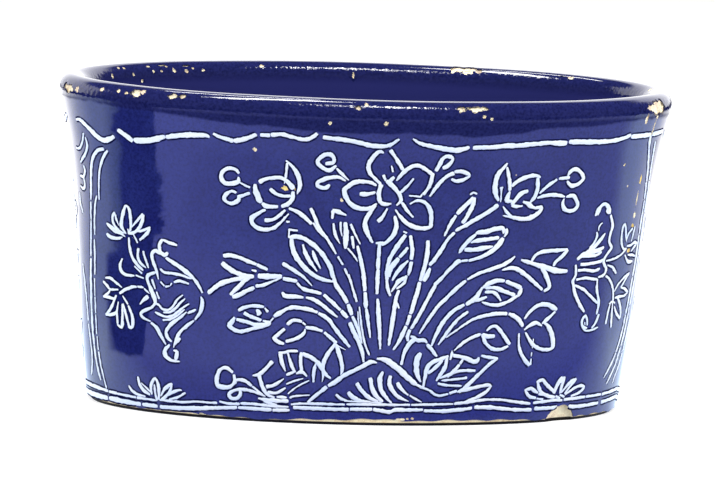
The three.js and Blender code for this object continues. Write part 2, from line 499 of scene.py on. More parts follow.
def wall_form():
    outside = np.linspace(wall_at(slab_thickness), wall_at(lip_joint_height), rings_outside)
    inside = np.linspace(inside_at(lip_joint_height), inside_at(coil_top + corner_gap), rings_inside)
    coil = np.linspace(inside_at(coil_top) + corner_gap, floor_edge, rings_on_coil)
    inside = np.concatenate([inside, coil])
    rings = np.concatenate([layer(outside, clay_depth), layer(inside, clay_depth)])
    return lathe("wall", rings, np.concatenate([outside, inside]))


wall = wall_form()
wall.materials.append(buff_clay)
add_piece("pot_wall", wall, "clay", "wall_ring", "corner_coil")

# Lip. The wall's end is rolled outward into a thick roll that stiffens the mouth. Knocks have flaked
# the glaze off it in many places, and some have taken a little of the clay along.

rings_on_lip = 60
first_lip_seed = 20


def lip_form():
    over = np.linspace(wall_at(lip_joint_height), inside_at(lip_joint_height), rings_on_lip)
    return lathe("lip", layer(over, clay_depth), over)


lip = lip_form()
lip.materials.append(buff_clay)
lip = cut_away(lip, [flake(*f, i + first_lip_seed) for i, f in enumerate(lip_flakes)], broken_clay)
add_piece("pot_lip", lip, "clay", "rim_roll")

# Blue glaze. A tin glaze stained with cobalt, poured over the pot inside and out and left short of the
# foot and the drain holes. Near the lip it is painted darker, partly thicker glaze and partly painted
# shade of the lip's roll, inside it is painted paler as painted light, and it has small pits.

# Darker blues near the lip: partly thicker glaze, partly painted shade. Paler blue inside: painted light.
cobalt = (0.008, 0.011, 0.094)
cobalt_worn = (0.012, 0.018, 0.118)
cobalt_thick_and_shaded = (0.011, 0.014, 0.086)
cobalt_pooled_and_shaded = (0.005, 0.007, 0.052)
cobalt_inside_lightened = (0.021, 0.024, 0.125, 1)
clay_in_pit = (0.5, 0.42, 0.3, 1)

# The glaze's skin: how high its swells and orange peel stand and how deep its pits are, in m, how wide a
# pit is as a share of the cell that it lies in, and the share of cells that have no pit
swell_height = 0.001
peel_height = 0.0002
pit_depth = 0.0003
pit_edge = (0.05, 0.09)
cells_without_pit = 0.9


def skin_group():
    """The waviness of a fired glaze: broad swells, fine orange peel, and a mask of pits."""
    group = bpy.data.node_groups.new("glaze_skin", "ShaderNodeTree")
    for name, kind in (("Place", "Vector"), ("Swell", "Float"), ("Peel", "Float")):
        group.interface.new_socket(name, in_out="INPUT", socket_type="NodeSocket" + kind)
    for name, kind in (("Normal", "Vector"), ("Pits", "Float")):
        group.interface.new_socket(name, in_out="OUTPUT", socket_type="NodeSocket" + kind)
    entry = group.nodes.new("NodeGroupInput").outputs
    place = entry["Place"]
    swell = grain(group, place, scale=70, detail=2, roughness=0.5)
    peel = grain(group, place, scale=620, detail=2, roughness=0.5)
    cells = put(group, "ShaderNodeTexVoronoi", Vector=place, Scale=150, Randomness=1).outputs
    chosen = work_out(group, "GREATER_THAN", cells["Color"], cells_without_pit)
    pits = work_out(group, "MULTIPLY", scaled(group, cells["Distance"], *pit_edge, 1, 0), chosen)
    swollen = put(group, "ShaderNodeBump", Height=swell, Distance=swell_height, Strength=entry["Swell"])
    peeled = put(group, "ShaderNodeBump", Height=peel, Distance=peel_height, Strength=entry["Peel"],
                 Normal=swollen.outputs[0])
    pitted = put(group, "ShaderNodeBump", {"invert": True}, Height=pits, Distance=pit_depth, Strength=0.5,
                 Normal=peeled.outputs[0])
    connect(group, group.nodes.new("NodeGroupOutput"), {"Normal": pitted.outputs[0], "Pits": pits})
    return group


glaze_skin = skin_group()

# Where the glaze changes on its way up, as heights in m: above a line that wanders and that sags in the
# middle of each long side it is thicker and painted darker with the lip's shade, has orange peel on the
# lip, and is smooth again on its crest. The sag reaches from the first of its distances from the middle in
# to the second.
thick_and_shaded_from = (0.1305, 0.1315)
line_wander = 0.006
line_sag = 0.0045
sag_reach = (0.095, 0.03)
roll_from = (0.1285, 0.1305)
peel_from = (0.128, 0.131)
peel_strength = (0.05, 0.9)
crest_from = (0.1346, 0.1353)
crest_peel = 0.02
# Where the lip goes over into the inside, whose paler blue is painted light, in mm along the section
lightened_inside_from = (lip_inner - 2, lip_inner + 3)


def glaze_finish():
    """Cobalt glaze, clouded and specked, painted darker above the line with shade and paler inside with
    painted light. On the neck, between the line and the roll, it shines less.
    """
    material, tree, shader = new_finish("blue_glaze")
    place = put(tree, "ShaderNodeTexCoord").outputs["Object"]
    across, _, up = put(tree, "ShaderNodeSeparateXYZ", Vector=place).outputs
    at = put(tree, "ShaderNodeAttribute", {"attribute_name": "along"}).outputs["Fac"]
    cloud = grain(tree, place, scale=42, detail=4, roughness=0.6, distortion=0.6)
    speck = grain(tree, place, scale=900, detail=2, roughness=0.6)

    sag = scaled(tree, work_out(tree, "ABSOLUTE", across), *sag_reach, 0, line_sag)
    wander = work_out(tree, "MULTIPLY_ADD", cloud, line_wander, up)
    # Above the line the colour is painted darker: thicker glaze and painted shade of the lip's roll.
    thick_and_shaded = scaled(tree, work_out(tree, "ADD", wander, sag), *thick_and_shaded_from)
    body = ramp(tree, cloud, (0.3, cobalt), (0.7, cobalt_worn))
    specks = ramp(tree, speck, (0.36, grey(0.72)), (0.5, grey(1)), (0.66, grey(1.18)))
    body = mix_colour(tree, 1.0, body, specks, "MULTIPLY")
    deep = ramp(tree, speck, (0.35, cobalt_pooled_and_shaded), (0.6, cobalt_thick_and_shaded))
    colour = mix_colour(tree, thick_and_shaded, body, deep)
    # Inside, the blue is painted paler as painted light, where less light reaches.
    colour = mix_colour(tree, scaled(tree, at, *lightened_inside_from), colour, cobalt_inside_lightened)

    peel = scaled(tree, up, *peel_from, *peel_strength)
    peel = work_out(tree, "MULTIPLY", peel, scaled(tree, up, *crest_from, 1, crest_peel))
    skin = put(tree, "ShaderNodeGroup", {"node_tree": glaze_skin}, Place=place, Swell=0.12, Peel=peel).outputs
    neck = work_out(tree, "SUBTRACT", thick_and_shaded, scaled(tree, up, *roll_from))
    connect(tree, shader, {
        "Base Color": mix_colour(tree, skin["Pits"], colour, clay_in_pit),
        "Roughness": ramp(tree, cloud, (0.3, grey(0.03)), (0.75, grey(0.09))),
        "IOR": 1.5,
        "Specular IOR Level": scaled(tree, neck, 0, 1, 0.5, 0.05),
        "Normal": skin["Normal"],
    })
    return material


blue_glaze = glaze_finish()
broken_glaze = clay_finish("broken_glaze", (0.34, 0.30, 0.24), (0.04, 0.04, 0.07), (0.008, 0.010, 0.04))
stained_clay = clay_finish("stained_clay", (0.90, 0.80, 0.38), (0.82, 0.65, 0.24), (0.56, 0.38, 0.14))

# Pits in the wall's glaze: where, in mm round the wall and up it, and how wide and tall
pale_pits = [
    (-54.1, 114.8, 1.5, 1.5),
    (-19.3, 95.3, 1.6, 1.6),
    (-106.8, 73.7, 1.0, 1.0),
    (105.4, 108.8, 1.3, 1.1),
    (119.2, 121.5, 1.0, 11),
    (120.0, 86.2, 1.6, 2.6),
    (119.8, 93.5, 0.7, 7),
    (11.2, 3.0, 4.0, 1.1),
    (14.5, 3.3, 1.2, 0.8),
    (16.6, 3.4, 1.4, 0.9),
]
stained_pits = [
    (-42.2, 99.3, 2.8, 2.0),
    (-38.6, 99.9, 3.2, 2.8),
    (119.8, 101.5, 1.3, 4.2),
    (119.8, 81.5, 1.9, 2.4),
    (119.6, 71.2, 2.2, 2.0),
]

# The oval on which places on the wall are measured, in mm from the middle of its front
measured_off = 8
fine_turns = np.linspace(-math.pi / 2, 3 * math.pi / 2, 4001)
oval_steps = np.hypot((foot_length / 2 + measured_off) * np.sin(fine_turns),
                      (foot_depth / 2 + measured_off) * np.cos(fine_turns))
oval_length = np.concatenate([[0], np.cumsum((oval_steps[1:] + oval_steps[:-1]) / 2 * np.diff(fine_turns))])
way_round = oval_length[-1]


def turn_at(s):
    """The angle round the oval at a distance along it from the middle of the front."""
    return np.interp(np.mod(s, way_round), oval_length, fine_turns)


# Rings of points on the glaze's wall, lip, inside and floor, how far up the wandering of its lower edge
# is felt, and how strong it is
glaze_rings = (70, 44, 64, 40)
edge_reach = 2.0
edge_wave = 0.45


def poured_edge():
    """How high the glaze's lower edge lies at each angle: broad and fine waves, and one high place in the
    middle of the front."""
    drip = 0.7 * np.sin(4 * turns + 0.7) + 0.5 * np.sin(11 * turns + 2) + 0.4 * np.sin(23 * turns)
    drip += 1.6 * np.exp(-((turns - 1.5 * math.pi) / 0.16) ** 2) + 0.5 * np.sin(57 * turns)
    return drip


def glaze_form():
    """The skin of glaze as one closed form, over the wall, the lip, the inside and the floor."""
    ends = [wall_at(bare_foot_band), lip_bottom, lip_inner, floor_edge, along[-1]]
    stretches = [np.linspace(*stretch)[1:] for stretch in zip(ends, ends[1:], glaze_rings)]
    steps = np.concatenate([ends[:1], *stretches])
    rings = np.concatenate([layer(steps, 0), layer(steps[::-1], glaze_thickness)])
    near_edge = np.exp(-(steps - steps[0]) / edge_reach)
    near_edge = np.concatenate([near_edge, near_edge[::-1]])
    rings[..., 2] += near_edge[:, None] * poured_edge()[None, :] * edge_wave
    return lathe("glaze", rings, np.concatenate([steps, steps[::-1]]))


def as_flakes(pits):
    """Pits, given by their place on the wall, as shallow flakes."""
    return [(math.degrees(turn_at(s)), wall_at(z), *size, shallow, s) for s, z, *size in pits]


glaze = glaze_form()
glaze.materials.append(blue_glaze)
glaze = cut_away(glaze, drills(drain_hole_radius + glaze_thickness), broken_glaze)
knocks = [(*f, i) for i, f in enumerate(foot_flakes)]
knocks += [(*f, i + first_lip_seed) for i, f in enumerate(lip_flakes)]
deep_knocks = [k for k in knocks if k[4] > shallow]
shallow_knocks = [k for k in knocks if k[4] == shallow]
glaze = cut_away(glaze, [flake(*k) for k in deep_knocks], broken_glaze)
glaze = cut_away(glaze, [flake(*p) for p in as_flakes(pale_pits) + shallow_knocks], broken_clay)
glaze = cut_away(glaze, [flake(*p) for p in as_flakes(stained_pits)], stained_clay)
add_piece("pot_glaze", glaze, "blue_glaze", "outer_glaze", "inner_glaze")

# White enamel. Tin white ground with a little glass, painted on the blue with a loaded brush and fired
# again, so that each stroke stands up from the glaze and is thin and bluish at its edges.

# The brush's widths in mm, from its tip to all of it
fine = 1.02
plain = 1.68
thick = 2.2
blot = 2.95

stroke_height = 0.3
stroke_sunk = 0.12
stroke_step = 0.8
overshoot = 0.3
end_press = 0.8
blunt_end = 0.8
same_point = 1e-6
# The stroke's cross-section: how far to each side, in half widths, and how high above the glaze
stroke_sides = np.array([-1, -0.85, -0.6, -0.3, 0, 0.3, 0.6, 0.85, 1])
stroke_rise = np.array([0.14, 0.58, 0.88, 0.98, 1, 0.98, 0.88, 0.58, 0.14])
# Beside it a narrow band is painted dark as shade round the raised stroke; it is marked as lying outside it.
shade_band_width = 0.7
shade_band_rise = 0.02
shade_band_edge = 0.1
shade_band_sunk = 0.05
shade_band_mark = 1.5


def enamel_finish():
    """White where the coat is thick, bluish at a stroke's sides, and painted shade in the band beside it."""
    material, tree, shader = new_finish("white_enamel")
    place = put(tree, "ShaderNodeTexCoord").outputs["Object"]
    side = put(tree, "ShaderNodeAttribute", {"attribute_name": "side"}).outputs["Fac"]
    streak = grain(tree, place, scale=420, detail=3, roughness=0.6)
    cloud = grain(tree, place, scale=60, detail=2, roughness=0.5)
    streaked = work_out(tree, "ADD", side, work_out(tree, "MULTIPLY_ADD", streak, 0.8, -0.4))
    thin = work_out(tree, "MULTIPLY", streaked, 0.6)
    # The last two stops paint the shade in the band beside the stroke.
    colour = ramp(tree, thin, (0.50, (0.68, 0.74, 0.84)), (0.60, (0.52, 0.60, 0.76)),
                  (0.618, (0.06, 0.08, 0.24)), (0.645, (0.004, 0.005, 0.036)))
    tint = ramp(tree, cloud, (0.35, (0.86, 0.92, 1.0)), (0.6, (1, 1, 1)))
    skin = put(tree, "ShaderNodeGroup", {"node_tree": glaze_skin}, Place=place, Swell=0.2, Peel=0.25).outputs
    connect(tree, shader, {
        "Base Color": mix_colour(tree, 1.0, colour, tint, "MULTIPLY"),
        "Roughness": ramp(tree, streak, (0.3, grey(0.2)), (0.7, grey(0.38))),
        "IOR": 1.52,
        "Specular IOR Level": scaled(tree, thin, 0.6, 0.63, 0.5, 0),
        "Normal": skin["Normal"],
    })
    return material


white_enamel = enamel_finish()


def brush_path(points):
    """The brush's way over the wall, as distances round and up it, with no corners and a little overshoot.
    A point can say how much of the brush's width is pressed on there, or else the brush is pressed
    less at both ends."""
    pressed = [1.0 if 0 < i < len(points) - 1 else end_press for i in range(len(points))]
    pressed = [p[2] if len(p) > 2 else share for p, share in zip(points, pressed)]
    flat = [(p[0], wall_at(p[1]), share) for p, share in zip(points, pressed)]
    line = smooth_line(flat, stroke_step)
    moved = np.linalg.norm(np.diff(line[:, :2], axis=0), axis=1) > same_point
    line = line[np.concatenate([[True], moved])]
    first, last = line[0] - line[1], line[-1] - line[-2]
    first[2] = last[2] = 0
    start = line[0] + overshoot * first / np.linalg.norm(first)
    end = line[-1] + overshoot * last / np.linalg.norm(last)
    return np.vstack([start, line, end])


def stroke(points, width, start_at, rng):
    """One stroke of the brush: its rings of points, and how near its side each point is."""
    line = brush_path(points)
    slope = np.gradient(line[:, :2], axis=0)
    slope /= np.linalg.norm(slope, axis=1, keepdims=True)
    aside = np.stack([-slope[:, 1], slope[:, 0]], 1)
    gone = np.concatenate([[0], np.cumsum(np.linalg.norm(np.diff(line[:, :2], axis=0), axis=1))])
    # The brush's load swells and shrinks a little in waves of about 7, 3 and 27 mm.
    first, second, third = rng.uniform(0, 2 * math.pi, 3)
    load = line[:, 2] * (1 + 0.06 * np.sin(0.9 * gone + first) + 0.05 * np.sin(2.1 * gone + second))
    load *= 1 + 0.07 * np.sin(0.23 * gone + third)
    # Its ends are rounded.
    from_end = np.minimum(gone, gone[-1] - gone) * 2 / (width * load)
    rounded = np.sqrt(np.clip(1 - np.clip(blunt_end - from_end, 0, 1) ** 2, 0, 1))
    half = (width / 2 * load * rounded)[:, None]
    high = (stroke_height * np.minimum(1, width * load / plain) * rounded)[:, None]
    level = 0 * half
    halo = half + shade_band_width
    beyond = half + shade_band_width + shade_band_edge
    across = np.hstack([-beyond, -halo, half * stroke_sides, halo, beyond, level])
    band = [level - shade_band_sunk, level + shade_band_rise]
    rise = np.hstack([*band, high * stroke_rise, *band[::-1], level - stroke_sunk])
    s = start_at + line[:, 0, None] + aside[:, 0, None] * across
    at = line[:, 1, None] + aside[:, 1, None] * across
    side = np.array([shade_band_mark] * 2 + np.abs(stroke_sides).tolist() + [shade_band_mark] * 3)
    return on_pot(turn_at(s), at, -rise), np.broadcast_to(side, s.shape)


def painted(name, motif, start_at):
    """The strokes of one motif joined as a painted piece. The motif holds its strokes by their width."""
    rng = np.random.default_rng(len(name) + int(start_at))
    verts, faces, sides = [], [], []
    first = 0
    for width, strokes in motif.items():
        for points in strokes:
            rings, side = stroke(points, width, start_at, rng)
            count, size = rings.shape[:2]
            corners = np.arange(count * size).reshape(count, size) + first
            onward = np.roll(corners, -1, 1)
            quads = np.stack([corners[:-1], onward[:-1], onward[1:], corners[1:]], -1)
            faces += quads.reshape(-1, 4).tolist()
            faces += [corners[0][::-1].tolist(), corners[-1].tolist()]
            verts.append(rings.reshape(-1, 3))
            sides.append(side.ravel())
            first += count * size
    mesh = bpy.data.meshes.new(name)
    mesh.from_pydata(np.concatenate(verts) * MM, [], faces)
    mesh.attributes.new("side", "FLOAT", "POINT").data.foreach_set("value", np.concatenate(sides))
    mesh.materials.append(white_enamel)
    form = bmesh.new()
    form.from_mesh(mesh)
    bmesh.ops.recalc_face_normals(form, faces=form.faces)
    form.to_mesh(mesh)
    form.free()
    return add_piece(name, mesh, "white_enamel")


sides_of_pot = {"front": 0, "back": way_round / 2}


def paint_long_sides(motifs):
    for side_name, side_start in sides_of_pot.items():
        for motif_name, motif in motifs.items():
            painted(side_name + "_" + motif_name, motif, side_start)


# Border, foot lines and frames. A wavy line under the lip, two lines round the foot, and at each end of a
# long side two upright lines like brackets, with scrolls behind them, all in short strokes of enamel.

# A motif holds its strokes by the brush's width. Each point of a stroke is a distance round the wall from
# the middle of its side and a height, in mm, and often how much of that width is pressed on there.
top_border = {
    thick: [
        [(-133.3, 119.4, 0.45), (-131, 119.7, 0.6), (-128, 118.3, 0.85), (-125, 116.3, 0.95), (-122, 114),
         (-118.5, 112.7), (-115.5, 113.5, 0.95), (-113, 114.9, 0.7)],
        [(-110.4, 117.9, 0.8), (-107.5, 116.3, 0.85), (-104.4, 114.2, 0.85)],
        [(-103.4, 114.6, 0.9), (-98, 114.9), (-94, 116, 0.95), (-90.1, 117.4, 0.85)],
        [(-89.2, 117.3, 0.85), (-85, 118.2, 0.95), (-81, 118.9, 0.95), (-76, 119.3, 0.9),
         (-73.2, 119.4, 0.7), (-72, 118.8, 0.35)],
        [(-70, 120.2, 0.45), (-67, 118.9, 0.65), (-62.6, 117.9, 0.7)],
        [(-62.1, 117.9, 0.7), (-58.5, 118.7, 0.75), (-53.6, 121, 0.7)],
        [(-51.6, 121, 0.7), (-48.3, 121, 0.75)],
        [(-47.5, 121.2, 0.75), (-44, 121.8, 0.8), (-40, 121, 0.75), (-35, 120, 0.7), (-32, 121, 0.75),
         (-30.2, 122.7, 0.55)],
        [(-27.5, 121.3, 0.75), (-20, 120.6, 0.8), (-15, 119.9, 0.75), (-10, 118.7, 0.8), (-6, 118.3, 0.85),
         (-2, 118.8, 0.75), (1.6, 121.3, 0.45)],
        [(7.4, 121.6, 0.3), (10, 120, 0.65), (15, 118.7, 0.8), (22, 117.4, 0.9), (26, 117.3, 0.9),
         (30, 118.4, 0.75)],
        [(32, 118.3, 0.8), (40, 118.5, 0.8), (44, 119, 0.85), (50, 119.2, 0.85), (58, 119.8, 0.85),
         (64, 120.2, 0.85), (68, 119.9), (71.6, 119.9, 1.05)],
        [(73, 120.4), (80, 120.1, 0.9), (88, 119.8, 0.85), (95, 119.9, 0.85), (100, 120.6, 0.8),
         (104, 121.7, 0.7)],
        [(105, 121, 0.8), (112, 120.9, 0.85), (118, 120.8, 0.8)],
        [(120, 120.8, 0.8), (130, 121, 0.8)],
    ],
}
foot_lines = {
    fine: [
        [(-96.5, 6.2, 0.8), (-90, 6.1, 0.85), (-85, 6.2, 0.9), (-80, 6.9, 0.85), (-75, 7, 0.85),
         (-70.4, 7, 0.7)],
        [(-68.8, 7.8, 0.7), (-65.5, 7.2, 1), (-60.3, 7.2)],
        [(-59.4, 7.6, 0.9), (-53, 7.6, 1), (-46, 7.2, 1.1), (-38.8, 7.2, 0.9)],
        [(-37.2, 8.3, 0.8), (-33, 8.8, 0.9), (-27, 9), (-14.2, 9)],
        [(-12.9, 9.2), (-5, 9.3), (5, 9.3), (14.8, 9.3)],
        [(15.9, 9.3), (27, 9.5), (34.6, 9.6)],
        [(35.5, 9.7, 1.2), (42, 10.4, 1.2), (50, 11.2), (58, 10.9, 1.1), (65, 9.8, 1.2), (72, 8.8, 1.1)],
        [(74, 9, 1.1), (84, 9.6, 1.2), (89.2, 9.3, 1.1)],
        [(90.6, 9.5, 1.2), (103, 9.8, 1.2)],
        [(104, 9.8, 1.2), (114, 9.8, 1.2)],
        [(115.5, 9.8, 1.3), (123, 10.1, 1.3), (130, 10.3, 1.3)],
        [(131.2, 10.2, 1.3), (139, 8.6, 1.4), (147.6, 7.1, 1.4)],
    ],
    plain: [
        [(-147.8, 7.1, 0.9), (-140, 7.2, 0.9), (-132, 7, 0.85), (-125, 6.5, 0.7)],
        [(-123.9, 6.4, 0.75), (-119.5, 6.3, 0.65)],
        [(-118.9, 6.2, 0.65), (-112, 6, 0.6), (-109, 5.9, 0.55)],
        [(-108, 5.9, 0.55), (-102, 5.8, 0.55), (-98.5, 5.7, 0.4)],
        [(-96.4, 3.2, 0.95), (-88, 3.5), (-82, 3.9), (-75, 4.5, 0.95), (-70, 5, 0.9), (-61.5, 5.7, 0.85)],
        [(-60.4, 5.7, 0.8), (-53, 5.7, 0.85), (-46.2, 5.6, 0.8)],
        [(-45.2, 5.5, 0.8), (-38.3, 5.8, 0.8)],
        [(-36.2, 7.1, 0.8), (-25, 7, 0.9), (-12.4, 7, 0.85)],
        [(-11.3, 7.2, 0.85), (-2, 7.2, 0.8)],
        [(-1, 7.2, 0.85), (3, 6.6, 0.85), (6, 6.2, 0.8), (9, 7.1, 0.85), (14, 7.1, 0.85),
         (20.8, 7.2, 0.75)],
        [(21.9, 6.8, 0.75), (30, 6.6, 0.85), (38, 7.1, 0.85), (43.5, 7.7, 0.8)],
        [(45.2, 8, 0.9), (52, 7.9, 0.9), (60, 7, 0.9), (66, 6.4, 0.9), (73, 6.1, 0.85)],
        [(75, 6.5, 0.9), (84, 6.4, 0.9), (86.6, 6.9, 0.55)],
        [(94, 6.5, 0.7), (97, 6, 0.9), (105, 6, 0.9), (113, 6.2, 0.9)],
        [(116, 6.2, 0.9), (123, 6.7, 0.9), (130, 7, 0.9)],
        [(131.2, 6.8, 0.9), (139, 5.1), (147.6, 3.6, 1.1)],
    ],
    thick: [
        [(-147.8, 3.5, 0.9), (-138, 3.5, 0.95), (-125.6, 3.5, 0.85)],
        [(-124, 3.6, 0.85), (-115, 3.4, 0.85), (-106.6, 3.2, 0.75)],
        [(-105.2, 3.3, 0.75), (-98.2, 3.3, 0.75)],
    ],
}
left_frame = {
    fine: [
        [(-117.2, 108.4, 0.97), (-119.5, 105.8, 1.06), (-121.5, 102.3, 0.97), (-123, 98, 0.88),
         (-123.8, 93, 0.88), (-124.3, 87.5, 0.53)],
        [(-125.7, 88.4, 0.7), (-127, 85, 0.88), (-127.8, 80, 0.88), (-128.2, 76, 0.88),
         (-128.3, 72.2, 0.7)],
        [(-128.7, 69.8, 0.7), (-128.8, 64, 0.88), (-129, 60, 0.79), (-129.3, 55.3, 0.79)],
        [(-129.7, 53.2, 0.7), (-129.8, 46.2, 0.7)],
        [(-129.8, 45.4, 0.7), (-129.8, 39, 0.7)],
        [(-129.8, 37.9, 0.7), (-129.9, 30.2, 0.7)],
        [(-129.7, 28.7, 0.7), (-129.5, 23.6, 0.79)],
        [(-129.3, 22.3, 0.97), (-128.5, 17, 0.97), (-127.1, 12, 0.88), (-125.8, 7.7, 0.7)],
    ],
    plain: [
        [(-119.2, 109, 0.84), (-122, 108.2, 0.88), (-125, 105.7, 0.84), (-127, 102, 0.79),
         (-128.2, 97, 0.75), (-129, 91, 0.75), (-129.7, 86.7, 0.53)],
        [(-130, 85.3, 0.62), (-130.3, 81, 0.62), (-130.4, 78.2, 0.48)],
        [(-130.5, 77.5, 0.53), (-131, 72, 0.62), (-131.2, 69.8, 0.53)],
        [(-131.3, 69.2, 0.57), (-131.7, 62.7, 0.48)],
        [(-131.8, 61.3, 0.62), (-132.3, 55, 0.79), (-132.5, 48, 0.88), (-132.8, 43, 0.84),
         (-132.8, 39.2, 0.75)],
        [(-132.8, 38.7, 0.75), (-132.8, 32, 0.88), (-132.5, 25.3, 0.7)],
        [(-132.5, 24.5, 0.75), (-131.8, 19, 0.79), (-130.6, 14, 0.7), (-129.5, 10.7, 0.35)],
    ],
}
left_end_scrolls = {
    plain: [
        [(-130, 114, 0.44), (-131.7, 110.4, 0.53), (-134.5, 107.3, 0.53), (-137.4, 107, 0.44)],
        [(-129, 112.3, 0.53), (-128.6, 109.5, 0.66), (-130, 106.3, 0.66), (-132.5, 103.8, 0.66),
         (-135, 101.5, 0.53)],
        [(-133, 100, 0.53), (-132.3, 98, 0.7), (-134, 95.5, 0.7), (-136.5, 95.5, 0.53)],
        [(-134, 95, 0.53), (-133.5, 92, 0.7), (-135, 90.3, 0.7), (-137.5, 91, 0.53)],
        [(-139, 88, 0.53), (-139, 84, 0.75), (-137, 80, 0.53)],
        [(-139.5, 58, 0.53), (-138, 50, 0.75), (-137, 43, 0.75), (-136.5, 35, 0.62)],
        [(-136.3, 33, 0.62), (-135, 20, 0.75), (-137, 12, 0.53)],
    ],
}
right_frame = {
    plain: [
        [(118.6, 120, 0.8), (119.3, 117.6, 1), (120.2, 114.9, 0.7)],
        [(120.5, 114.3, 0.75), (122.2, 110.9, 0.9), (123.6, 107.6, 0.9), (124.9, 104.5, 0.9),
         (126, 100.2, 0.85)],
        [(126.1, 99.3, 0.85), (127, 96, 0.85), (127.6, 92.6, 0.7)],
        [(127.7, 91.4, 0.75), (127.9, 84), (127.9, 77.6, 0.75)],
        [(127.9, 76.6, 0.75), (128.1, 68), (127.8, 59.5, 0.75)],
        [(127.7, 58.4, 0.75), (127, 51.5), (125.8, 43.6, 0.75)],
        [(125.6, 42.6, 0.7), (124.9, 38, 0.8), (123.2, 32, 0.8), (121.4, 27.6, 0.75)],
        [(121, 26.7, 0.7), (119.1, 23.3, 0.75), (117, 20.4, 0.7), (114.4, 17, 0.35)],
        [(124.9, 117, 0.6), (126.2, 112.5, 0.85), (127.6, 107, 0.85), (129.3, 100.5, 0.75)],
        [(129.5, 99.4, 0.75), (130.7, 93), (131.2, 86.4, 0.75)],
        [(131.3, 85.2, 0.75), (131.5, 77), (131.3, 68.2, 0.75)],
        [(131.2, 67, 0.75), (130.6, 57), (129.4, 46.8, 0.75)],
        [(129.2, 45.6, 0.75), (127.4, 35.5, 0.85), (125.6, 29.7, 0.75)],
        [(125.2, 28.6, 0.75), (122.7, 22, 0.8), (120, 17.7, 0.7), (117.6, 14.2, 0.5)],
        [(132.4, 40, 0.6), (130.6, 32.5, 0.8), (129, 27, 0.7)],
        [(128.6, 25.8, 0.7), (126.6, 20.5, 0.8), (124.2, 16.4, 0.7), (123.4, 13.9, 0.5)],
    ],
}
paint_long_sides({
    "top_border": top_border,
    "foot_lines": foot_lines,
    "left_frame": left_frame,
    "left_end_scrolls": left_end_scrolls,
    "right_frame": right_frame,
})

# The bouquet. Flowers, buds and striped leaves on long stems grow from a hatched mound on the foot line.
# They are drawn freehand, each petal and leaf in a few strokes with small gaps between them.

mound = {
    fine: [
        [(16.5, 18.3, 0.9), (19.5, 16.9, 1.1), (23, 15.6)],
        [(23.5, 15.4, 0.9), (26, 13.7), (28.5, 13.3), (31.7, 13.9, 0.7)],
        [(32.7, 14.3, 1.1), (35.5, 15.2, 1.1)],
    ],
    plain: [
        [(-30, 9.6, 0.7), (-27.5, 11.9, 0.9), (-25, 14, 0.95), (-22.3, 16.2, 0.9)],
        [(-21.3, 16.9, 0.9), (-18, 19, 1.05), (-15, 21.4), (-10, 24, 1.05), (-6, 26.2, 1.05),
         (-3.6, 27.5, 1.15), (-1.3, 27.2, 0.4)],
        [(-17.8, 13.1, 0.8), (-15.6, 11.5, 0.7), (-12.5, 10.6, 0.3)],
        [(-12.5, 14.3, 1), (-10.5, 12.3, 0.9), (-6.5, 10.8, 0.7), (-3, 10.5, 0.4)],
        [(-9, 18.2, 0.95), (-6.5, 14.7, 0.95), (-3, 12, 0.95), (0.5, 10.8, 0.6)],
        [(-3.4, 20.5, 0.95), (-2.3, 16, 1.05), (0, 12.8, 1.1), (2.5, 10.7, 0.9)],
        [(1.8, 23.2, 0.7), (0.8, 20.5, 1.1), (1.5, 16, 1.05), (4, 12.5, 0.9), (6.5, 10.2, 0.5)],
        [(5.4, 21.5, 0.85), (5, 18.5), (7, 15, 0.9), (10, 12.5, 0.8), (14, 10.9, 0.3)],
        [(8.7, 18.6, 0.85), (10.3, 16.3, 0.8), (13.7, 13.6, 0.3)],
        [(14.8, 13.2, 0.4), (17.5, 11.7, 0.55), (20, 10.6, 0.25)],
        [(-14, 10.6, 0.3), (-9, 10.4, 0.4), (-3, 10.3, 0.4), (2, 10.2, 0.4)],
    ],
    thick: [
        [(-0.9, 28.9, 0.4), (2.5, 28.5, 0.85), (5.5, 26.8, 0.95), (8.5, 24.8), (12, 21.8, 1.05),
         (15.3, 19.3, 0.95), (17, 18, 0.6)],
    ],
}
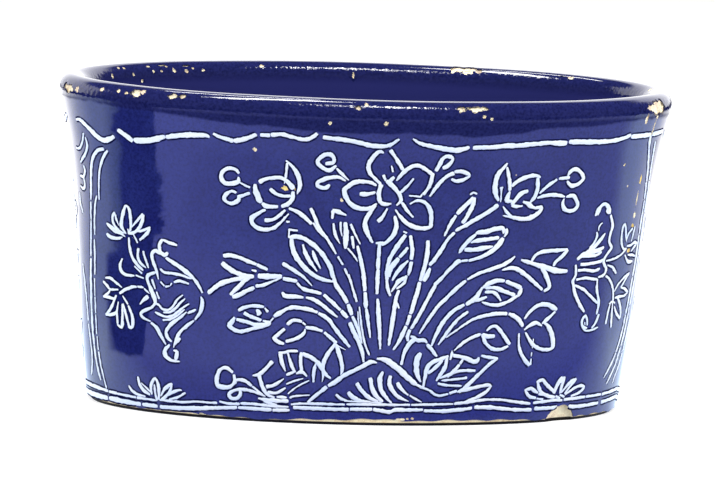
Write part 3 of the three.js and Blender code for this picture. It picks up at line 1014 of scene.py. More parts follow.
stems = {
    fine: [
        [(-9.9, 50.5, 0.6), (-9, 45, 0.7), (-8, 40, 0.75), (-6.8, 35.5, 0.8), (-4.6, 30.5, 0.6)],
        [(-10.4, 48.5, 0.5), (-9.7, 43, 0.5), (-8.4, 37.5, 0.6)],
        [(-15, 64, 0.7), (-13, 58, 0.8), (-11.2, 53, 0.7)],
    ],
    plain: [
        [(-3, 77.3, 0.95), (-3.1, 72, 0.9)],
        [(-3.1, 71.5, 0.9), (-3, 67, 0.85)],
        [(-3, 66.5, 0.9), (-2.9, 61, 0.9), (-2.8, 56.5, 0.7)],
        [(-2.4, 54, 0.6), (-1.7, 48, 0.95), (-0.8, 41, 0.9), (0, 33.2, 0.4)],
        [(-12, 76, 0.65), (-10.3, 70, 0.95), (-8.9, 64), (-8, 57.6, 0.85)],
        [(-7.8, 56.6, 0.85), (-7.3, 52, 0.9), (-7.1, 50.4, 0.7)],
        [(-6.9, 49.8, 0.7), (-6, 45, 0.75), (-4.6, 38, 0.4)],
        [(-21.7, 64.5, 0.6), (-20.3, 60, 0.9), (-17.5, 56, 0.95), (-15.2, 52.4, 0.9)],
        [(-14.6, 51.4, 0.9), (-13, 47.4, 0.9)],
        [(-12.5, 46.4, 0.8), (-10.8, 43, 0.7), (-9.2, 39, 0.6), (-8, 35.5, 0.3)],
        [(-13.5, 43.8, 0.9), (-12.2, 41), (-10, 37), (-8, 32.5, 0.95), (-6.8, 27.6, 0.6)],
        [(17.2, 78.8, 0.85), (17.3, 74, 1.1), (16.7, 69), (15.9, 65, 0.95), (15.2, 62.3, 0.8)],
        [(14.9, 61.3, 0.95), (14.2, 57, 0.95), (13, 52, 0.95), (12.1, 48.3, 0.85)],
        [(11.8, 47.4, 0.85), (10.9, 43.6, 0.85)],
        [(10.4, 42.7, 0.85), (9.2, 39.5, 0.9), (7.5, 35.7, 0.75), (5.8, 33, 0.35)],
        [(21.7, 60.2, 0.85), (18.3, 53, 0.95), (15.5, 47, 0.95), (12.8, 42, 0.6)],
        [(12.2, 41.2, 0.75), (11.4, 38.5, 0.85), (11.8, 36.8, 0.6)],
        [(37, 48.9, 0.7), (33, 45.9, 0.8), (29.8, 42, 0.85), (27.5, 38.5, 0.7), (25.3, 35.3, 0.35)],
    ],
}
centre_flower = {
    plain: [
        [(-4, 115.6, 0.35), (-5.6, 116.1, 0.85), (-8, 113.5), (-9.4, 110, 1.05), (-8.6, 106.8, 0.95),
         (-6.3, 104.5, 0.75), (-4.2, 102.3, 0.5)],
        [(-1.2, 116.6, 1.05), (0.4, 114.5, 0.75), (2.5, 111.5, 0.85), (4.3, 108.8, 0.75)],
        [(2.3, 104.2, 0.45), (4.5, 107.2, 0.9), (7, 109.6), (10, 110.6), (13, 109.3, 0.95),
         (16.2, 107, 0.85)],
        [(16.6, 107.2, 0.9), (16.1, 103, 0.95), (15, 100.5, 0.8), (13.7, 98.5, 0.75)],
        [(8, 97.8, 0.35), (10.5, 97.6, 0.45), (12.4, 97.4, 0.5), (13, 98.4, 0.4)],
        [(8.6, 94.4, 0.3), (11.5, 95.8, 0.6), (15, 94.6, 0.95), (17.3, 91, 1.05), (17.8, 86.5, 0.95),
         (17.2, 84.6, 0.85), (12.5, 84.3, 1), (8, 86), (5, 88.7, 0.8), (2.8, 91.6, 0.3)],
        [(-5.5, 93.2, 0.45), (-7.5, 90.5, 0.8), (-9.4, 86.5, 1.05), (-8.7, 82.5, 1.05), (-6, 77.9, 0.55)],
        [(2.6, 88.9, 0.55), (3.5, 85, 1.1), (2.3, 80.8, 1.05), (0, 78.2, 0.9), (-2, 77, 0.7)],
        [(-4.3, 77.6, 0.6), (-1, 77.5, 0.9)],
        [(-6, 101.8, 0.5), (-9, 103.1, 0.9), (-14, 103, 1.1), (-18, 100.2), (-18.4, 98.3), (-16.5, 94.5),
         (-13, 92.2, 1.1), (-8, 92, 1.05), (-5.4, 94, 0.5)],
        [(-4, 102, 1.05), (-4.6, 98.5, 0.9), (-3.8, 95), (-2, 94, 0.95), (0.5, 94.2, 0.45)],
        [(-1.7, 103.7, 1.1), (1, 101.5, 1.1), (3.6, 98.5, 0.9), (4.6, 95.8, 0.8), (3.1, 93.8, 0.5)],
        [(1, 105.3, 0.8), (-1.2, 103, 1)],
        [(-0.3, 110, 0.3), (0.4, 107.8, 0.5)],
        [(8.9, 104.8, 0.5), (6.5, 101.5, 0.7), (3.8, 98.8, 0.6)],
        [(-12, 97.9, 0.95), (-9, 98.1, 0.85), (-6.2, 98.8, 0.45)],
        [(5.2, 94.6, 0.6), (7.5, 91.5, 0.7), (10, 88.8, 0.3)],
        [(-0.9, 92, 0.4), (-2.5, 88.5, 0.8), (-4.1, 86.8, 1.15)],
        [(-3.2, 106, 0.7), (-2.3, 104, 0.45)],
    ],
}
centre_buds = {
    plain: [
        [(17.9, 108.5, 0.8), (19.2, 111.5, 1.05), (20.3, 113.9, 1), (22.4, 114.6, 1), (24, 113.5, 0.75),
         (23.3, 111.6, 0.9), (22, 110.2, 1.05), (20.7, 109.6, 0.7)],
        [(25.8, 108, 0.6), (28, 108.3), (30.5, 107.6), (32, 106.6, 0.6)],
        [(32, 106.2, 0.6), (30, 105, 0.9), (27, 104.1, 0.9), (24.8, 104.9, 0.5)],
        [(25.2, 107.3, 1.05), (22.8, 106.3, 0.9), (20, 103.5, 0.9), (18, 100.5, 0.75), (16.4, 97.8, 0.45)],
        [(-22.4, 109.4, 0.5), (-25, 107.5), (-28, 108.8, 0.9), (-29.6, 111, 0.9), (-27.5, 113.5, 0.9),
         (-25, 114.3, 0.95), (-23.3, 112.8, 0.9), (-23.4, 110.8, 0.9), (-26.2, 110.2, 0.9)],
        [(-21.8, 108.2, 0.5), (-19.5, 105.8, 0.7), (-17.2, 103.8, 0.35)],
        [(-18.4, 103.4, 0.4), (-21, 104.7, 0.7), (-24, 104.5, 0.9), (-27.5, 103.3), (-29.5, 101.8, 0.9),
         (-28.5, 100.3, 0.9), (-26, 100), (-24.7, 101.3, 0.7)],
    ],
}
left_flower = {
    fine: [
        [(-30.4, 85, 0.8), (-28.2, 82, 0.9), (-26.2, 79.8, 0.7)],
        [(-61, 100.9, 0.5), (-58.5, 99.6, 0.8), (-56.5, 98.8, 0.9)],
        [(-41.2, 85.2, 0.8), (-40.4, 85.3, 0.7)],
    ],
    plain: [
        [(-52.3, 101.2, 1.1), (-50, 102.6, 0.9), (-46, 103.5, 0.9), (-43.5, 103.3, 0.85),
         (-41, 101.6, 0.95), (-39, 99.2, 1.15)],
        [(-54.2, 100, 0.75), (-53.9, 97, 1.25), (-52.5, 93.9, 1.2), (-51.8, 92.9, 0.8)],
        [(-51.2, 92.3, 0.8), (-49.3, 91.2, 1.15), (-45.2, 91.3, 0.75)],
        [(-43.3, 91.5, 0.75), (-40.8, 92.8, 0.9), (-39.2, 95, 0.9), (-39, 97.7, 0.75)],
        [(-48.1, 98.4, 0.9), (-46, 96.8, 0.9), (-43, 95.9, 0.8), (-40, 96, 0.7)],
        [(-42.5, 101.3, 0.25), (-41.9, 105, 0.6), (-41.5, 109.5, 0.6)],
        [(-41.8, 110.6, 0.4), (-39.5, 108.5, 0.8), (-37.5, 105.5, 0.9), (-36.4, 102, 0.95),
         (-36.5, 99.5, 0.75), (-37.3, 97.2, 0.25)],
        [(-50.2, 89.7, 0.5), (-53, 88), (-55.4, 86, 1.1), (-55.3, 83.8, 1.1), (-53, 82), (-50.5, 81.5),
         (-47, 82.2, 0.8), (-44.3, 84.2, 0.6), (-42.5, 86.3, 0.5), (-40.7, 88.4, 0.3)],
        [(-50, 85.3, 0.95), (-47, 85.8, 0.9), (-44.5, 87.5, 0.8), (-42.2, 89.9, 0.6)],
        [(-40.3, 90.7, 0.5), (-38, 90), (-35, 88.2), (-31.3, 84.9, 0.75)],
        [(-31.7, 91.1, 0.85), (-30.3, 88.3, 0.85), (-28.6, 84.3, 0.85), (-26.8, 81.5, 0.7),
         (-25, 79.3, 0.65), (-22.5, 75.5, 0.55), (-20.9, 72.8, 0.35)],
        [(-19.8, 71.3, 0.45), (-17.8, 68.3, 0.4)],
        [(-16.8, 66.4, 0.45), (-15.6, 64, 0.35), (-13.8, 60.5, 0.35)],
        [(-60.8, 104.5, 0.7), (-62.2, 106, 0.85), (-65, 106.1, 0.9), (-67.3, 104.3, 0.9),
         (-67.8, 102, 0.9), (-66.3, 100, 1), (-63.5, 99.8, 1), (-61, 100.9, 0.95), (-60.9, 102.6, 0.4)],
        [(-62, 96.3, 0.6), (-63.5, 96.8, 0.7), (-65.3, 95.8, 0.7), (-66.7, 94, 1.05), (-66, 92.3, 0.9),
         (-63.5, 91.5, 0.9), (-61.1, 93, 1.05), (-60.8, 94.3, 0.8)],
        [(-61, 94.5, 0.8), (-59, 95.3, 0.6), (-56.6, 96.3, 0.6)],
    ],
}
right_flower = {
    plain: [
        [(24, 81.2, 0.4), (26, 86, 0.8), (27.9, 89.5, 0.9)],
        [(28.6, 90.5, 1), (31.5, 93.8, 1.1), (34.6, 97, 1.1)],
        [(35.2, 97, 0.9), (34.6, 93.5, 1.05), (33.2, 90, 1.1), (31.3, 86.6, 0.9)],
        [(33.3, 98.6, 0.4), (34.5, 99.4, 0.5), (35.8, 98.8, 0.35)],
        [(45.6, 93.9, 1), (42, 91.3, 0.95), (38, 88.8, 0.95), (33, 85.8, 0.9), (28.7, 83.3, 0.7)],
        [(28, 82.3, 0.8), (25.5, 79.5, 0.8), (23.3, 75.5, 1), (21, 71.7, 0.9), (18.8, 68.8, 0.6)],
        [(18.8, 67.3, 0.75), (17.8, 64.5), (16.7, 62.2, 0.8)],
        [(45.6, 96, 0.7), (44, 99), (43.4, 103, 1.15), (44, 107, 1.1), (46, 109.7, 0.85),
         (47.2, 111.5, 0.35)],
        [(47.5, 109.8, 0.5), (48.5, 107, 0.8), (49.5, 103.5, 1), (50.1, 100.3, 0.8)],
        [(46.3, 101.4, 0.95), (46.5, 99.8, 0.4), (46.7, 95.5, 0.3)],
        [(51, 102, 0.6), (53, 104), (57, 105.8, 1.05), (60.5, 106.3, 0.9), (62.8, 105.5, 0.4)],
        [(61.8, 105, 0.8), (62.5, 101, 1.1), (61.9, 97.5), (60.2, 95, 0.5)],
        [(50.2, 99.5, 0.4), (49.5, 97.5, 1), (49.5, 95.9, 1.1), (51.8, 95.5, 0.6)],
        [(58.1, 99.7), (55.5, 98.8, 1), (53.3, 96.2, 0.9), (52, 94.2, 0.8)],
        [(52, 93.7, 0.8), (54, 93.3, 0.8), (56.5, 93.4, 0.4)],
        [(57, 95.2, 0.5), (59, 94.4, 1), (61, 93.1, 0.9), (63, 92.3, 0.5)],
        [(62.5, 92.4, 0.6), (65.4, 92.7, 0.9), (65.2, 91), (63.5, 89.6), (60.5, 88.2, 1.1), (57, 88, 1),
         (53, 88.7, 0.8), (48.7, 89.5, 0.25)],
        [(48.2, 93.2, 0.35), (50, 91, 0.7), (52.5, 88.9, 0.55)],
        [(64, 98.8, 0.45), (66.5, 101.3, 0.8), (70.7, 104.2, 0.6)],
        [(72, 104.7, 0.6), (74, 104.9, 0.9), (76.5, 105, 0.8)],
        [(75.8, 106, 0.6), (77, 108), (79, 108.4), (81.5, 107.2), (83.6, 104.3), (81.3, 102),
         (78.3, 101.5), (76, 103.3, 0.6)],
        [(63.3, 96.8, 0.5), (67, 97.7, 0.9), (71, 97.8, 1), (75.8, 96.9, 0.5)],
        [(77, 96.8, 0.7), (80, 97.2), (82.3, 95), (83.2, 92.5), (80.7, 90.7), (77.5, 91.2),
         (75.6, 93.5, 0.8), (75.8, 95.8, 0.4)],
    ],
}
left_leaves = {
    plain: [
        [(-22.9, 87.5, 0.6), (-22.7, 90.4, 0.8)],
        [(-22.7, 90.8, 0.6), (-20.5, 90.2, 1.1), (-17.5, 89, 0.4)],
        [(-22.3, 85.1, 0.5), (-21.5, 81, 0.7), (-19.5, 77.2, 0.25)],
        [(-19.4, 85.8, 0.45), (-19.2, 82.5, 0.5), (-18.6, 80.3, 0.25)],
        [(-17.6, 85.7, 0.75), (-17, 82, 1.35), (-17, 78.5, 1.15), (-17, 75.2, 0.7)],
        [(-15.2, 85, 0.5), (-13.5, 81.5, 0.6), (-11.1, 77.2, 0.25)],
        [(-14.4, 80, 0.6), (-13.6, 75.4, 0.5)],
        [(-15.9, 75, 0.35), (-13.6, 72.5, 0.5), (-11.8, 70, 0.25)],
        [(-39.8, 78.7, 0.8), (-37.5, 79.2, 1), (-34, 78.5, 1.1), (-30.5, 76.3, 1.15), (-27.3, 73.5, 1.05),
         (-24.5, 69.7), (-22.5, 66.3, 0.95), (-21.8, 62.8, 0.75)],
        [(-39.1, 78, 0.8), (-38.9, 75.5, 1.1), (-37.5, 71.5, 1.1), (-34.5, 67.5, 1.1), (-31.5, 64.8),
         (-28, 62.5, 0.9), (-24, 61.3, 0.8), (-21.5, 61, 0.5)],
        [(-40.3, 78.8, 0.35), (-40.2, 81.4, 0.5)],
        [(-40.3, 81.9, 0.6), (-37, 81.7, 0.4)],
        [(-34.4, 75.8, 0.5), (-33.3, 72.5, 0.9), (-31.3, 69, 0.9), (-28.4, 65.2, 0.3)],
        [(-30.3, 73.4, 0.4), (-29.2, 70.5, 0.9), (-27, 66.4, 0.4)],
        [(-42.4, 67.6, 0.75), (-39.5, 66, 0.8), (-35.7, 63.7, 0.65), (-33.3, 62, 0.55), (-30.3, 59, 0.3)],
    ],
}
middle_leaf = {
    fine: [
        [(6.8, 82.6, 0.7), (7.9, 82.2, 0.6)],
    ],
    plain: [
        [(7.5, 81, 0.8), (5, 77.5, 1.1), (2.5, 73, 1), (1.1, 69, 0.9), (0.8, 65, 0.9), (1, 62.6, 0.7)],
        [(1, 62, 0.7), (1.5, 59, 0.85), (2.8, 55.8, 0.5)],
        [(9.6, 80.8, 0.8), (10.5, 77), (10.9, 73.5, 0.9), (10.6, 71.2, 0.8)],
        [(10.8, 69.8, 0.8), (10.4, 67, 0.9), (9.9, 64.6, 0.5)],
        [(8.8, 75.8, 0.5), (6.8, 73.3, 1), (5.8, 72, 0.8)],
        [(5.2, 71.3, 0.9), (3.5, 69, 1.15), (2.1, 67, 1.2), (1.6, 63.8, 0.8)],
        [(9.2, 70.3, 0.5), (7, 68, 1), (5, 65.3, 0.9), (3.4, 62.3, 0.5)],
        [(9.1, 63.3, 0.8), (6.5, 62.3, 1.05), (4.5, 59.5, 0.8), (3.3, 57.5, 0.4)],
        [(9, 64, 0.6), (8.3, 61, 0.7), (5.5, 58.8, 0.5)],
        [(6.3, 57.8, 0.75), (5.4, 55, 0.9), (4.9, 50, 1.05), (4.3, 42, 0.95), (3.6, 34.8, 0.45)],
        [(5.3, 53.4, 0.7), (6.8, 50.6, 0.5)],
    ],
}
right_leaf = {
    plain: [
        [(37.5, 82.1, 0.5), (38.6, 82.5, 1.1), (42, 82.9, 1.1), (46, 84, 1.1), (49, 84.2, 1),
         (49.6, 82.2, 0.6)],
        [(50.7, 83.7, 0.8), (51, 82.3, 0.8), (50.2, 80.8, 0.5)],
        [(37.3, 81.6, 0.7), (34.5, 79, 0.9), (32.1, 76, 0.9), (31, 74, 0.4)],
        [(35.8, 78.3, 0.4), (38, 79, 1), (42, 79.5, 1), (47.5, 80.2, 0.8)],
        [(33.4, 75.2, 0.9), (38, 75.3, 1), (42, 76, 1), (45.2, 76.5, 0.5)],
        [(49.5, 79.9, 1), (48, 77.2, 1.2), (45, 74.5, 1.1), (41, 72.3, 0.9), (35.6, 70.6, 0.7)],
        [(32.5, 70.5, 0.6), (34.7, 70.7, 0.6)],
        [(31.8, 70.3, 0.7), (30.3, 69.9, 1.15), (27, 66.5, 0.8), (24, 63, 0.9), (21.5, 60.5, 0.8)],
    ],
}
left_lily = {
    plain: [
        [(-67, 69.5, 1.05), (-64, 69.8, 1), (-60, 69, 0.9), (-56.5, 67.6, 0.9), (-53.6, 66.8, 0.75)],
        [(-52.9, 66.5, 0.75), (-49, 64.8, 0.75)],
        [(-55.1, 64.1, 0.4), (-53.6, 63.8, 0.5)],
        [(-73.4, 53.3, 0.85), (-71, 55.6, 1.1), (-68, 57.8, 1.05), (-64, 59.4), (-60.5, 60.3),
         (-57, 61.5, 0.8)],
        [(-64, 53.4, 0.8), (-61, 56.5, 0.9), (-58, 59.7, 0.9), (-55.5, 61.5, 0.7)],
        [(-63, 52.4, 0.95), (-60.5, 53.5), (-57.5, 55.2, 0.95), (-54.4, 56.8, 0.85)],
        [(-53.3, 57.5, 0.8), (-50, 58.3, 0.8), (-47, 59.7, 0.55), (-43, 61.7, 0.4)],
        [(-42, 61.3, 0.85), (-36.6, 60.6, 0.85)],
        [(-36.2, 59.6, 0.7), (-34.7, 58.1, 0.5), (-33.3, 57.3, 0.95), (-30, 56.5, 1), (-26.3, 55.8, 0.7)],
        [(-24.9, 55.1, 0.85), (-21.5, 52.3, 0.85), (-18, 49.2, 0.65)],
        [(-17.3, 48.6, 0.85), (-14.9, 46.1, 0.9)],
        [(-42.3, 55.3, 0.6), (-41, 54.1, 1.05), (-38, 54, 0.95), (-33.8, 53.9, 0.5)],
        [(-32.2, 53.8, 0.5), (-29.5, 53.2, 0.85), (-26, 51.3, 0.85), (-22.5, 48.6, 0.8),
         (-19.1, 46.2, 0.4)],
    ],
    thick: [
        [(-67.6, 66.3, 0.8), (-65.5, 64.7, 1), (-62, 62.8, 0.95), (-58, 61.7, 0.95), (-54.6, 61.5, 0.7)],
        [(-52.4, 61.9, 1), (-47.5, 62, 1.1), (-43, 62.3, 0.7)],
    ],
}
right_lily = {
    plain: [
        [(55.8, 72, 0.5), (54, 70.4, 0.8), (50, 68.3, 0.9), (45, 66.7, 0.85), (40, 65, 0.85),
         (35.8, 62.8, 0.7)],
        [(34.8, 62, 0.75), (31, 58.8, 0.85), (27, 54.8, 0.9), (23, 50.5, 0.85), (19.5, 45, 0.85),
         (16.6, 40, 0.3)],
        [(51, 66.5, 0.35), (54, 67.2, 0.8), (57, 67, 0.95), (61, 64.9, 0.95), (66, 61.2, 0.95),
         (70.7, 57.7, 0.8)],
        [(59.3, 70.5, 0.5), (62, 69.8, 0.9), (66, 68.5), (72, 66.8, 1.2), (77, 65.4, 1.3), (82.2, 65, 0.9)],
        [(64, 69.8, 0.5), (66, 72.7, 0.8), (70, 73.9, 0.85), (76, 74.1, 0.9), (81, 74.3, 0.7)],
        [(81.2, 74, 0.85), (79, 71.5, 0.9), (76, 69.3, 0.8), (75.1, 67.7, 0.6)],
        [(68, 68.3, 0.7), (71, 64.9, 1), (73.5, 60.7, 1.1), (74.1, 58.4, 0.9), (72, 57, 0.7)],
    ],
}
left_buds = {
    plain: [
        [(-47, 43.2, 0.35), (-46, 44.4, 0.4)],
        [(-45.4, 45.4, 0.9), (-43.3, 46.8, 0.9), (-41, 48.3, 0.75), (-38.5, 49.3, 0.9), (-36, 49.4, 0.95),
         (-31, 48.8), (-27.6, 47.8, 0.7)],
        [(-26.8, 47.3, 0.7), (-23, 45.3), (-20.5, 42.3, 0.95), (-17, 38, 0.9), (-13.2, 33.8, 0.5)],
        [(-60.5, 47, 0.8), (-58.5, 48.2, 0.8), (-56, 49, 0.8), (-53, 49.3, 0.8), (-50.2, 49, 0.6)],
        [(-58.1, 45.9, 0.8), (-55.5, 44.7, 0.8), (-51.2, 43.4, 0.65)],
        [(-52.9, 47.5, 0.5), (-51.9, 46.4, 1.15), (-52.5, 45.6, 0.5)],
        [(-49.4, 48.4, 0.45), (-48.4, 47.1, 0.6)],
        [(-61.2, 43.1, 0.8), (-57, 42.3, 0.85), (-53, 41.3, 0.9), (-49.5, 41.7, 0.9)],
        [(-62.4, 43.7, 0.6), (-63.7, 41.6, 1), (-64.4, 40.2, 1.15), (-62.5, 38.7), (-60, 38.1, 0.95),
         (-57.5, 38.6, 0.9), (-54, 39.8, 0.9), (-50.5, 40.9, 0.9), (-48.7, 41.8, 1.2), (-47.4, 42.8, 0.8)],
        [(-50, 43.1, 0.5), (-48.3, 42.7, 0.9)],
        [(-39.8, 42.3, 0.75), (-38, 43.8, 0.85), (-35.8, 44.1, 0.8), (-34, 43.6, 0.6)],
        [(-33.3, 43.1, 0.45), (-32.4, 42.4, 0.45)],
        [(-41.1, 40.1, 0.75), (-43.5, 38, 0.8), (-45.2, 36.2, 0.85), (-43.8, 34.8, 0.9), (-41.3, 34, 0.85)],
        [(-40.1, 35, 0.85), (-37, 36, 0.9), (-34.3, 37.3, 0.9), (-32.8, 38.8, 0.8), (-32.3, 40.3, 0.4)],
        [(-31.9, 41.3, 0.85), (-29, 41, 1), (-25.2, 40, 0.7)],
        [(-24, 39.3, 0.6), (-21.8, 37.5, 0.8), (-19, 35.3, 0.75)],
    ],
}
right_buds = {
    plain: [
        [(43.1, 59.3, 0.8), (45.5, 61), (49, 62), (52.2, 61.9, 0.8)],
        [(53.3, 61.6, 0.8), (57, 60.2, 0.95), (60.3, 58.7, 0.9)],
        [(60.7, 58.4, 0.7), (60.2, 56.5), (59.6, 55.3, 0.6)],
        [(59, 55.2, 0.7), (55.5, 53.3, 0.85), (51.5, 51.8, 0.85), (47.5, 51.8, 0.75), (43.2, 53, 0.3)],
        [(44.2, 59, 0.5), (48.5, 59, 0.9), (52, 57.7, 0.95), (57.7, 55.7, 0.8)],
        [(44.3, 57.2, 0.5), (47.5, 57.2, 0.75), (49.5, 56, 0.8), (51.6, 53.6, 0.3)],
        [(42.5, 59.1, 0.6), (41.4, 57, 1), (40, 54.8, 1.2), (36.2, 52.2, 0.95)],
        [(44.8, 55.1, 0.5), (42.3, 54.2, 0.9), (40, 53.8, 0.8)],
        [(35, 51.9, 0.85), (31, 49.7, 1), (27.3, 46, 0.95), (25, 42, 0.95), (23.5, 38.5, 0.85),
         (22.3, 34.8, 0.5)],
        [(46.7, 41, 0.6), (48.4, 42.4, 0.8), (50.6, 42.6, 0.9), (53.5, 40, 0.9), (56.4, 36.5, 1),
         (58, 35, 0.7)],
        [(57.2, 33.9, 0.6), (54, 32.8, 0.9), (51, 32.8, 0.8), (48, 34.3, 0.8), (45.9, 36.5, 0.8),
         (44.8, 39.3, 0.7)],
        [(45, 39.3, 0.8), (47, 38.5, 1), (50.2, 38.5, 0.85)],
        [(43.6, 39.3, 0.75), (40, 38, 0.75), (36.5, 36, 0.75), (32.7, 32.7, 0.3)],
    ],
}
right_trefoil = {
    fine: [
        [(69.4, 36.5, 0.5), (69.4, 33, 0.5)],
        [(69.4, 30.7, 0.4), (69.4, 29.5, 0.4)],
    ],
    plain: [
        [(28.5, 38.3, 0.3), (33, 41.4, 0.45), (38, 44.8, 0.6), (42, 46.6, 0.8), (47, 47.6, 0.85),
         (51, 48, 0.85), (55, 47.8, 0.75)],
        [(64, 45.7, 0.4), (66.5, 48.8, 0.9), (70, 51), (74, 51.2, 1.1), (77.5, 49.8, 1.15),
         (79.3, 48.8, 0.6)],
        [(78.6, 47.8, 0.6), (76.5, 46, 0.9), (74.3, 44.2, 0.9), (73, 43.2, 0.4)],
        [(64.5, 40.9, 0.5), (67, 42.7, 0.9), (70, 43.5, 0.9), (72.6, 42.2, 0.4)],
        [(73.9, 43.4, 0.5), (77, 40.8, 1.05), (79, 37, 1.15), (79.9, 33.3), (78.7, 31.9, 0.8),
         (74.5, 32, 0.95), (70.5, 33.5, 0.95), (67.5, 36.3, 0.8), (65.2, 39.4, 0.3)],
        [(62, 39.1, 0.35), (62.5, 34.5, 0.65), (64, 30.8, 0.85), (66.3, 28, 0.95), (68.8, 25.5, 0.9)],
        [(69.5, 28, 0.4), (69.4, 25.8, 0.55)],
    ],
    thick: [
        [(56.3, 47.8, 0.65), (59, 46.6, 0.85), (61.5, 44.8, 0.85), (63.3, 42.5, 0.6)],
    ],
}
left_ground_plants = {
    fine: [
        [(-18.8, 34.3, 0.7), (-15.1, 32.5, 0.35)],
        [(-39.4, 17, 0.7), (-36, 18.5, 0.75), (-32.7, 19.5, 0.5)],
        [(-38.7, 13, 0.5), (-35, 16, 0.6), (-30.1, 18.7, 0.5)],
        [(-37.9, 11.2, 0.6), (-35.8, 11.9, 0.7), (-29.7, 12.6, 0.6)],
    ],
    plain: [
        [(-43, 29.9, 0.8), (-40.5, 30.4, 0.6), (-38.8, 30.9, 0.7), (-35.4, 31.1, 0.6)],
        [(-42.4, 29.5, 0.95), (-41.8, 26, 0.9), (-40.3, 22.6, 0.4)],
        [(-39.3, 30, 0.45), (-38, 26, 0.9), (-36.6, 22.8, 0.75)],
        [(-39.5, 20.9, 0.5), (-37.8, 21.7, 0.7), (-36, 22.5, 0.5)],
        [(-33.7, 30.4, 0.75), (-33.8, 27, 0.9), (-33.2, 23.2, 0.8)],
        [(-35.3, 21.6, 0.45), (-33, 22.4), (-31.1, 20.7, 0.5)],
        [(-32.8, 30, 0.8), (-30.5, 29.2, 0.9), (-28, 27.8, 1), (-26, 26.2, 1.1), (-24.3, 23.8),
         (-22.9, 21.6, 0.85), (-20.8, 20.2, 0.4)],
        [(-27.3, 26.1, 0.4), (-28, 22.5, 0.9), (-28, 18.4, 0.4)],
        [(-19.2, 34.8, 0.75), (-21.5, 31.7, 0.85), (-23.3, 28.5, 0.95), (-24.2, 25), (-23.8, 22, 0.8),
         (-24.2, 18.7, 0.2)],
        [(-19, 34.4, 0.75), (-17.5, 30.7), (-16.3, 27), (-15.8, 23.7, 0.8), (-16.3, 21.7, 0.3)],
        [(-46, 26.1, 0.95), (-48, 23.7, 0.95), (-50, 21.7, 0.9), (-52, 20.2, 0.9), (-54.1, 19.8, 0.4)],
        [(-51.6, 20.1, 0.9), (-50.7, 17, 0.95), (-49.6, 14.3, 0.85), (-47.8, 12, 0.7), (-45, 10.9, 0.5)],
        [(-48.2, 15.4, 0.9), (-45.5, 16, 0.8), (-43, 17.5, 0.6), (-41, 19, 0.3)],
        [(-47.5, 13.1, 0.8), (-44.3, 12.8, 0.7), (-42.3, 13.7, 0.6), (-40.2, 15.1, 0.35)],
        [(-43.5, 11.2, 0.5), (-41.5, 11.1, 0.7), (-39.7, 11.1, 0.5)],
        [(-51.6, 10.2, 0.5), (-49, 9.8, 0.9), (-45, 9.6), (-38.9, 9.6, 0.8)],
        [(-50, 10, 0.5), (-47.5, 8.6, 0.8), (-44, 7.7, 0.7)],
    ],
}
berries = {
    plain: [
        [(-63.2, 20.6, 0.65), (-65, 22, 0.85), (-67, 22.2, 0.85), (-69, 20.8, 0.85), (-69.9, 18, 0.85),
         (-70, 15), (-68.5, 14.2, 1.1), (-66, 14), (-63.7, 14.8, 0.9), (-62.2, 16.8, 0.9),
         (-62.6, 19.4, 0.5)],
        [(-60, 13.6, 0.8), (-63, 12.7, 0.7), (-64.7, 11, 0.9), (-63.5, 9.5, 0.8), (-61.3, 9.7, 0.8),
         (-59.8, 11.3, 0.8), (-59.8, 13, 0.7)],
        [(-62, 17.3, 0.6), (-60, 17.7, 0.8), (-57.5, 17.2, 0.8), (-54.9, 15.5, 0.6)],
        [(-54.3, 15, 0.45), (-52, 13.3, 0.5), (-50, 12, 0.4)],
        [(-60, 13.7, 0.8), (-57, 13.5, 0.8), (-53.5, 12.8, 0.6), (-50.5, 11.8, 0.5), (-49, 11.3, 0.35)],
    ],
}
